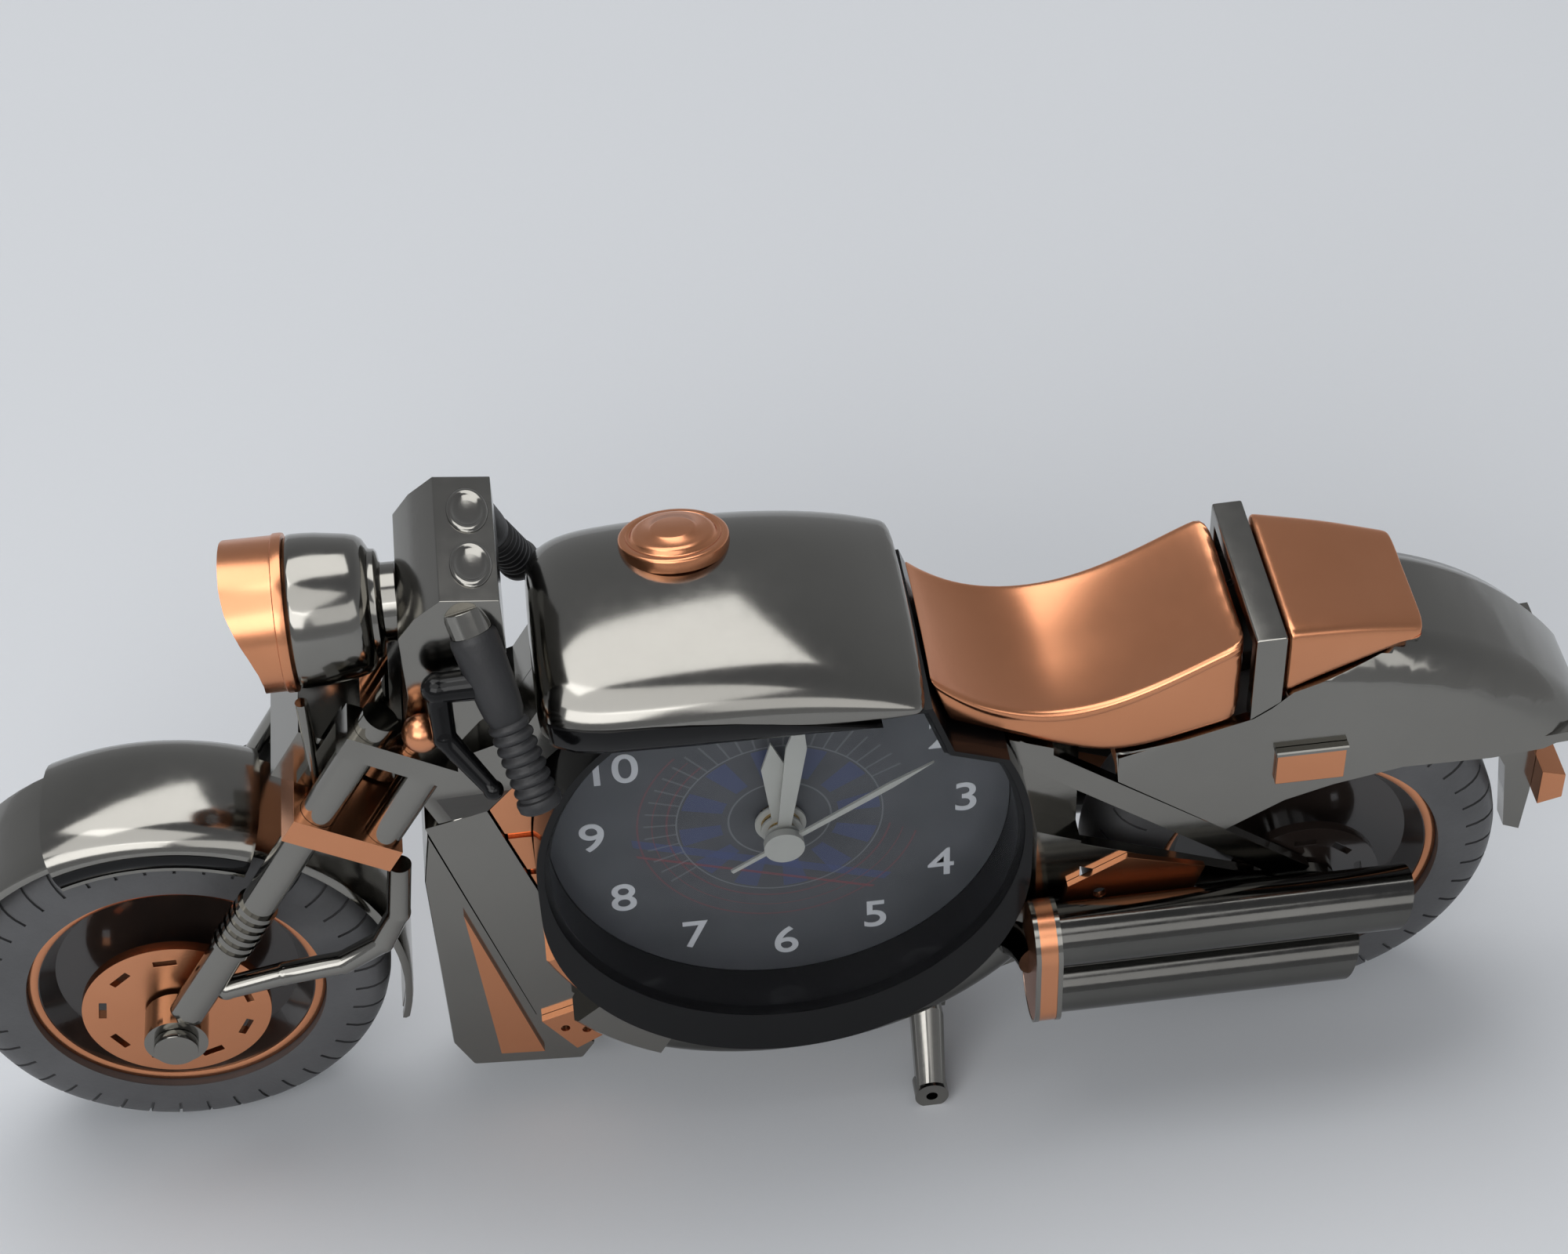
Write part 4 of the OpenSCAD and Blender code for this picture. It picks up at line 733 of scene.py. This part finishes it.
def addSeat(look):
    for name in ("saddle", "pad"):
        stations, side = look[name], look[name + "Side"]
        rings = [seatRing(look, side, *station) for station in stations]
        if name == "saddle":
            rings.insert(0, seatRing(look, side, *stations[0], look["noseShrink"]))
        else:
            topX, underX = stations[-1]
            rings.append(seatRing(look, side, topX + look["tailTop"], underX + look["tailUnder"],
                                  look["tailShrink"]))
        piece = loftPiece(name + "Form", rings)
        applyModifier(piece, "SUBSURF", levels=2, render_levels=2)
        smoothByAngle(piece, look["smooth"])
        finishPiece(piece, "chassis", "copper")
    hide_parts("seat")


addSeat(seatLook)
print("seat lofted")

# a copper strip and a plated rail that hug the drum ahead of the exhaust bends

railLook = {
    "centre": (drumX, 50), "step": 3, "smooth": 35,
    "cradleStrip": {
        "from": 203, "to": 224, "slot": "copper",
        "section": [(35.75, 8.6), (38.3, 8.6), (38.7, 9.0), (38.7, 12.2), (38.3, 12.6), (36.2, 12.6),
                    (35.75, 12.2)],
    },
    "cradleRail": {
        "from": 220, "to": 241, "slot": "gunmetal",
        "section": [(35.75, 9.0), (42.0, 9.0), (42.6, 9.5), (42.6, 14.0), (41.8, 14.7), (36.4, 14.7),
                    (35.75, 14.0)],
    },
}


def addRail(name, side, rail, look):
    middle, height = look["centre"]
    rings = []
    for turn in turnSteps(rail["from"], rail["to"], look["step"]):
        across, up = math.cos(math.radians(turn)), math.sin(math.radians(turn))
        rings.append([(rowX(middle + r * across), y * side, height + r * up) for r, y in rail["section"]])
    piece = loftPiece(name, rings)
    smoothByAngle(piece, look["smooth"])
    finishPiece(piece, "chassis", rail["slot"])


for name in ("cradleStrip", "cradleRail"):
    for side, word in sides:
        addRail(name + word, side, railLook[name], railLook)
print("rails lofted")

# bends that lead the headers into the clamps, the clamps' bright edges and a bar over each side reflector

bendLook = {
    "middle": 5.0, "height": 56.7, "sweep": 45.0, "end": 40.7, "beside": 11.8,
    "radius": 2.68, "reach": 2.6, "into": (42.3, 18.5, 29.8), "steps": 8, "corners": 24, "smooth": 40,
}
edgeLook = {
    "front": 41.2, "width": 3.8, "beside": 19.5, "low": 25.8, "high": 36.0,
    "radius": 5.86, "band": 0.7, "proud": 0.06, "thick": 0.35, "steps": 12, "smooth": 40,
}
barLook = {
    "from": 76.8, "to": 87.2,
    "section": [(14.1, 64.1), (15.1, 64.1), (15.3, 64.3), (15.3, 64.8), (15.1, 65.0), (14.1, 65.0)],
}


def addBend(name, side, look):
    end = math.radians(look["end"])
    heading = Vector((math.sin(end), 0, math.cos(end)))
    mouth = Vector((rowX(look["middle"] + look["sweep"] * math.cos(end)), look["beside"] * side,
                    look["height"] - look["sweep"] * math.sin(end)))
    intoX, intoY, intoZ = look["into"]
    first, second = mouth - heading, mouth + heading * look["reach"]
    last = Vector((rowX(intoX), intoY * side, intoZ))
    turns = [math.tau * corner / look["corners"] for corner in range(look["corners"])]
    rings = []
    for share in turnSteps(0, 1, 1 / look["steps"]):
        place = first * (1 - share) ** 2 + second * 2 * share * (1 - share) + last * share ** 2
        ahead = ((second - first) * (1 - share) + (last - second) * share).normalized()
        across = ahead.cross(Vector((0, 0, 1))).normalized()
        over = across.cross(ahead)
        spokes = [across * math.cos(turn) + over * math.sin(turn) for turn in turns]
        rings.append([place + spoke * look["radius"] for spoke in spokes])
    bend = loftPiece(name, rings)
    smoothByAngle(bend, look["smooth"])
    # the bends take the darker gunmetal copy, painted shade, like the exhausts
    finishPiece(bend, "chassis", "gunmetal", finishes["shadedGunmetal"])


def addEdge(name, side, x, look):
    upper = [(turn, look["high"]) for turn in turnSteps(0, 180, 180 / look["steps"])]
    lower = [(turn, look["low"]) for turn in turnSteps(180, 360, 180 / look["steps"])]
    spots = []
    for turn, height in upper + lower:
        across, up = math.cos(math.radians(turn)), math.sin(math.radians(turn))
        spots.append(((look["beside"] + look["radius"] * across) * side, height + look["radius"] * up))
    rings = [[(rowX(x + shift), y, z) for y, z in spots] for shift in (0, look["band"])]
    edge = loftPiece(name, rings, capped=False)
    applyModifier(edge, "SOLIDIFY", thickness=look["thick"] * mm, offset=-1.0)
    smoothByAngle(edge, look["smooth"])
    finishPiece(edge, "chassis", "gunmetal")


def addBar(name, side, look):
    rings = [[(rowX(x), y * side, z) for y, z in look["section"]] for x in (look["from"], look["to"])]
    finishPiece(loftPiece(name, rings), "chassis", "gunmetal")


clampFront = edgeLook["front"] - edgeLook["proud"]
clampBack = edgeLook["front"] + edgeLook["width"] + edgeLook["proud"] - edgeLook["band"]
for side, word in sides:
    addBend("headerBend" + word, side, bendLook)
    addEdge("clampFrontEdge" + word, side, clampFront, edgeLook)
    addEdge("clampBackEdge" + word, side, clampBack, edgeLook)
    addBar("reflectorBar" + word, side, barLook)
print("bends, clamp edges and reflector bars lofted")

# headlight, turned: shell, bezel with a peaked front, dish and bulb, as radius and depth behind the front

lampLook = {
    "front": -59.6, "height": 98.4, "turns": 160, "smooth": 40, "near": 0.005,
    "shell": [(9.80, 0.0), (9.90, 1.9), (10.15, 2.2), (10.42, 2.45), (10.5, 3.0), (10.48, 4.5), (10.36, 6.2),
              (10.08, 8.2), (9.78, 10.3), (9.45, 11.5), (8.9, 12.3), (7.95, 12.85), (7.5, 13.05), (7.4, 13.4),
              (7.38, 13.8), (7.0, 14.1), (5.7, 14.3), (5.42, 14.55), (5.4, 16.4), (0.5, 16.4), (0.5, 15.6),
              (4.2, 15.0), (6.4, 12.8), (8.7, 10.4), (9.4, 4.0), (9.2, 0.0)],
    "bezel": [(10.6, -6.4), (10.6, 0.2), (10.66, 0.5), (10.82, 0.62), (10.85, 0.9), (10.85, 1.6),
              (10.78, 1.9), (10.6, 1.95), (10.06, 1.95), (10.06, 0.2), (10.08, -6.4)],
    "dish": [(9.0, 0.35), (8.2, 2.2), (7.0, 4.0), (5.4, 5.6), (3.4, 6.8), (1.6, 7.3), (0.05, 7.4),
             (0.05, 7.8), (1.8, 7.7), (3.7, 7.1), (5.8, 5.8), (7.4, 4.1), (8.6, 2.2), (9.15, 0.35)],
    "bulb": [(0.05, 3.4), (0.9, 3.55), (1.5, 4.1), (1.7, 4.8), (1.5, 5.5), (1.1, 6.0), (1.1, 7.4),
             (0.05, 7.4)],
    "peak": [(-10.6, 3.4), (-7.5, 3.9), (-4, 4.1), (-1, 3.8), (2, 2.9), (5, 1.6), (7.5, 0.55), (9.5, 0.06),
             (10.6, 0.0)],
    "parts": {"shell": ("headlight_bucket", "gunmetal"), "bezel": ("headlight_bezel", "copper"),
              "dish": (None, "steel"), "bulb": (None, "movement_plastic")},
}


def peakBezel(bezel, foremost, centre, look):          # draws the front edge back, all but its top
    def onEdge(corner):
        return abs(corner.co.x / mm - foremost) < look["near"]

    def heightOf(corner):
        return round((corner.co.z - centre.z) / mm, 1)

    for height in sorted({heightOf(corner) for corner in bezel.data.vertices if onEdge(corner)}):
        pick(bezel, "vertices", lambda corner: onEdge(corner) and heightOf(corner) == height)
        bpy.ops.transform.translate(value=(along(look["peak"], height) * mm, 0, 0))
        bpy.ops.object.mode_set(mode="OBJECT")


def addHeadlight(look):
    front, middle = rowX(look["front"]), look["height"]
    centre = Vector((front, 0, middle)) * mm
    for name, (node, slot) in look["parts"].items():
        piece = ringOutline("headlight" + name.title(), [(front + x, 0, middle + r) for r, x in look[name]])
        spinPiece(piece, centre, look["turns"], (1, 0, 0))
        if name == "bezel":
            peakBezel(piece, front + look["bezel"][0][1], centre, look)
        smoothByAngle(piece, look["smooth"])
        if node:
            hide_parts(node)
        finishPiece(piece, "fork", slot)


addHeadlight(lampLook)
print("headlight turned")

# filler cap, turned about its own tilted axis

capLook = {
    "place": (-5, 9.6, 94.6), "tilt": -14, "turns": 120, "smooth": 42,
    "outline": [(0.02, -0.6), (7.2, -0.6), (7.8, -0.4), (7.8, 1.15), (7.72, 1.42), (7.5, 1.58), (7.2, 1.62),
                (6.75, 1.6), (6.6, 1.45), (6.35, 1.38), (6.1, 1.5), (5.9, 1.9), (5.6, 2.2), (5.1, 2.36),
                (3.4, 2.44), (3.2, 2.62), (2.9, 2.72), (0.02, 2.76)],
}


def addCap(look):
    x, y, z = look["place"]
    tilt = math.radians(look["tilt"])
    axis = Vector((0, -math.sin(tilt), math.cos(tilt)))
    middle = Vector((rowX(x), y, z))
    cap = ringOutline("fillerCap", [middle + Vector((r, 0, 0)) + axis * h for r, h in look["outline"]])
    spinPiece(cap, middle * mm, look["turns"], tuple(axis))
    smoothByAngle(cap, look["smooth"])
    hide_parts("fuel_cap")
    finishPiece(cap, "chassis", "copper")


addCap(capLook)
print("cap turned")

# two plain oval dishes on the sloping top of the nacelle

dishLook = {
    "place": (-32.6, 5.4, 108.4), "slope": -0.128, "stretch": 1.6, "turns": 96, "smooth": 42,
    "outline": [(0.02, -0.5), (2.7, -0.5), (2.82, 0.02), (2.76, 0.26), (2.6, 0.42), (2.38, 0.48),
                (2.15, 0.42), (1.98, 0.26), (1.75, 0.13), (1.3, 0.06), (0.02, 0.03)],
}


def addDish(name, side, look):
    x, y, z = look["place"]
    middle = Vector((rowX(x), y * side, z))
    dish = ringOutline(name, [middle + Vector((r, 0, h)) for r, h in look["outline"]])
    spinPiece(dish, middle * mm, look["turns"], (0, 0, 1))
    for corner in dish.data.vertices:
        corner.co.y = middle.y * mm + (corner.co.y - middle.y * mm) * look["stretch"]
        corner.co.z += (corner.co.x - middle.x * mm) * look["slope"]
    smoothByAngle(dish, look["smooth"])
    finishPiece(dish, "fork", "gunmetal")


for side, word in sides:
    addDish("nacelleDish" + word, side, dishLook)
print("nacelle dishes turned")

# black strip along the lower edge of the tank, painted shade standing for the dark reflection in the tank's
# undercut; a section's points are width, height and inset

undercutShadeLook = {
    "x": [-24.9, -24.2, -21.5, -17, -11, -6, 0, 5, 9, 13, 17, 20],
    "top": [(-25, 88.6), (-23, 89.2), (-10, 89.2), (-2, 88.7), (4, 87.8), (9, 86.8), (13, 85.9), (17, 85.05),
            (20, 84.5)],
    "half": [(-25.8, 16.0), (-24.4, 17.9), (-21.5, 19.5), (-17, 20.3), (-6, 20.6), (5, 20.6), (13, 20.5),
             (20, 20.2)],
    "section": [(0.935, 0.0, 0.0), (0.972, 0.10, 0.0), (0.992, 0.32, 0.0), (1.0, 0.62, 0.0), (1.0, 0.9, 0.02),
                (1.0, 1.0, 0.12)],
    "low": 84.35, "out": 0.12, "deep": 0.7, "smooth": 50,
}


def addSkirt(name, side, look):
    rings = []
    for x in look["x"]:
        half, low = along(look["half"], x) + look["out"], look["low"]
        rise = along(look["top"], x) - low
        outer = [(half * share - inset, low + level * rise) for share, level, inset in look["section"]]
        inner = [(y - look["deep"], z) for y, z in reversed(outer)]
        rings.append([(rowX(x), y * side, z) for y, z in outer + inner])
    # the strip is painted shade: a black band laid over the tank's lower sides where they only reflect dark
    undercutShade = loftPiece(name, rings)
    smoothByAngle(undercutShade, look["smooth"])
    finishPiece(undercutShade, "chassis", "black_plastic")


for side, word in sides:
    addSkirt("tankUndercutShade" + word, side, undercutShadeLook)
print("skirt lofted")

# grips, turned about the slanting bar ends, as share of the bar's length and radius

gripLook = {
    "root": (-33.6, 12.4, 103.9), "tip": (-26.8, 24.5, 80.7), "turns": 64, "smooth": 50,
    "start": 0.03, "bore": 1.56,
    "outline": [(0.03, 2.95), (0.045, 3.2), (0.07, 3.3), (0.20, 3.2), (0.40, 2.95), (0.47, 2.75),
                (0.50, 2.45)],
    "ribs": 7, "ribFrom": 0.515, "ribStep": 0.058,
    "rib": [(0.0, 2.35), (0.012, 2.73), (0.02, 2.85), (0.032, 2.85), (0.04, 2.73), (0.05, 2.35)],
    "cap": [(0.93, 2.5), (0.935, 3.0), (0.95, 3.1), (0.985, 3.0), (1.0, 2.55)],
}


def addGrips(look):
    outline = list(look["outline"])
    for rib in range(look["ribs"]):
        start = look["ribFrom"] + look["ribStep"] * rib
        outline += [(start + share, r) for share, r in look["rib"]]
    outline += look["cap"] + [(1.0, look["bore"]), (look["start"], look["bore"])]
    made = []
    for side, word in sides:
        root, tip = [Vector((rowX(x), y * side, z)) for x, y, z in (look["root"], look["tip"])]
        axis = (tip - root).normalized()
        out = axis.cross(Vector((0, 0, 1))).normalized()
        grip = ringOutline("grip" + word, [root + (tip - root) * share + out * r for share, r in outline])
        spinPiece(grip, root * mm, look["turns"], tuple(axis))
        smoothByAngle(grip, look["smooth"])
        made.append(grip)
    grips = joined(made, "gripPair")
    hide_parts("grips")
    finishPiece(grips, bodyOfNode["grips"], "grip_rubber")


addGrips(gripLook)
print("grips turned")

# plain numerals on the dial

numeralLook = {
    "ring": 27.0, "topRing": 24.2, "height": 5.7, "heightOfSize": 0.70, "bolder": 0.06,
    "face": -9.5, "thick": 0.05, "lift": 0.01, "hourStep": 30,
    "paint": {"base": (0.80, 0.81, 0.83), "dark": (0.70, 0.71, 0.73),
              "rough": 0.5, "coat": 0.0, "grain": 0.05},
}


def addNumerals(look):
    made = []
    for hour in range(1, 13):
        turn = math.radians(look["hourStep"] * hour)
        ring = look["topRing"] if hour == 12 else look["ring"]
        deselectAll()
        bpy.ops.object.text_add()
        numeral = bpy.context.object
        numeral.data.body = str(hour)
        numeral.data.align_x = "CENTER"
        numeral.data.align_y = "CENTER"
        numeral.data.size = look["height"] / look["heightOfSize"] * mm
        numeral.data.extrude = look["thick"] * mm
        numeral.data.offset = look["bolder"] * mm
        bpy.ops.object.convert(target="MESH")
        numeral = bpy.context.object
        numeral.rotation_euler = (math.pi / 2, 0, 0)
        face = look["face"] - look["thick"] - look["lift"]
        numeral.location = dialCentre + Vector((ring * math.sin(turn), face, ring * math.cos(turn))) * mm
        made.append(numeral)
    numerals = joined(made, "dialNumerals")
    finishPiece(numerals, "chassis", "dial_print", mouldedFinish("numeralFinish", look["paint"], mouldNoise))


addNumerals(numeralLook)
print("numerals set")

# inside pieces keep their construction form

for node, piece in frame["nodes"].items():
    if node not in easedNodes and not piece.hide_render:
        piece.data.materials.clear()
        piece.data.materials.append(finishes[slotOfNode[node]])
print("inside pieces finished")

# studio, in metres

studioLook = {
    "floorSize": 6, "floor": (0.75, 0.77, 0.795), "floorShade": 0.96, "floorRough": 0.9, "floorGloss": 0.1,
    "patchScale": 4.0, "patchFrom": 0.3, "patchTone": 1.4,
    "fibreScale": 900.0, "fibreTone": 0.2, "fibreGrain": 0.05, "fibreHeight": 0.2 * mm,
    "fadeFrom": 0.6, "fadeOver": 1.3, "farGlow": (0.30, 0.308, 0.322),
    "sky": (0.40, 0.41, 0.43), "high": (0.21, 0.217, 0.23),
    "aim": (0, 0, 0.05),
    "lamps": {
        "frontBox": {"place": (-0.55, -1.00, 0.76), "width": 1.1, "height": 0.56, "watts": 6.6},
        "sideBox": {"place": (0.42, -1.00, 0.76), "width": 0.9, "height": 0.56, "watts": 2.0,
                    "shineOnly": True},
        "midBox": {"place": (-0.40, -0.55, 1.25), "width": 1.5, "height": 0.90, "watts": 7.4,
                   "shineOnly": True},
        "topBox": {"place": (-0.20, 0.42, 1.45), "width": 1.5, "height": 1.0, "watts": 12.5},
    },
}


def addFloor(look):
    deselectAll()
    bpy.ops.mesh.primitive_plane_add(size=look["floorSize"])
    floor = bpy.context.object
    floor.name = "paperFloor"
    material, shader, wire = newFinish("paperFinish")
    place = objectPlace(wire)
    fibre = noise(wire, place, look["fibreScale"])
    patch = noise(wire, place, look["patchScale"], detail=2.0)
    tone = (patch - look["patchFrom"]) * look["patchTone"] + (fibre - noiseMiddle) * look["fibreTone"]
    away = wire.add("ShaderNodeVectorMath", {"operation": "LENGTH"}, {0: place}, 1)
    far = ((away - look["fadeFrom"]) / look["fadeOver"]).most(0.0).least(1.0)
    feed(shader, {
        "Base Color": tone.blend([part * look["floorShade"] for part in look["floor"]], look["floor"]),
        "Roughness": look["floorRough"],
        "Specular IOR Level": look["floorGloss"],
        "Emission Color": far.blend((0, 0, 0), look["farGlow"]),
        "Emission Strength": 1.0,
        "Normal": bumpOf(wire, fibre, look["fibreGrain"], look["fibreHeight"]),
    })
    floor.data.materials.append(material)


def addSky(look):
    world = bpy.data.worlds.new("studioWorld")
    world.use_nodes = True
    bpy.context.scene.world = world
    wire = Wire(world.node_tree)
    direction = wire.add("ShaderNodeTexCoord", output="Generated")
    height = wire.add("ShaderNodeSeparateXYZ", None, {0: direction}, 2)
    background = world.node_tree.nodes["Background"]
    feed(background, {"Color": height.most(0.0).blend(look["sky"], look["high"]), "Strength": 1.0})


def addLamp(name, lamp, aim):                          # a shineOnly lamp shows in gloss alone
    bpy.ops.object.light_add(type="AREA", location=lamp["place"])
    light = bpy.context.object
    light.name = name
    light.data.shape = "RECTANGLE"
    light.data.size = lamp["width"]
    light.data.size_y = lamp["height"]
    light.data.energy = lamp["watts"]
    light.visible_diffuse = not lamp.get("shineOnly", False)
    light.rotation_euler = (Vector(aim) - Vector(lamp["place"])).to_track_quat("-Z", "Y").to_euler()


addFloor(studioLook)
addSky(studioLook)
for name, lamp in studioLook["lamps"].items():
    addLamp(name, lamp, studioLook["aim"])
bpy.context.scene.view_settings.view_transform = "Standard"
print("studio lit")
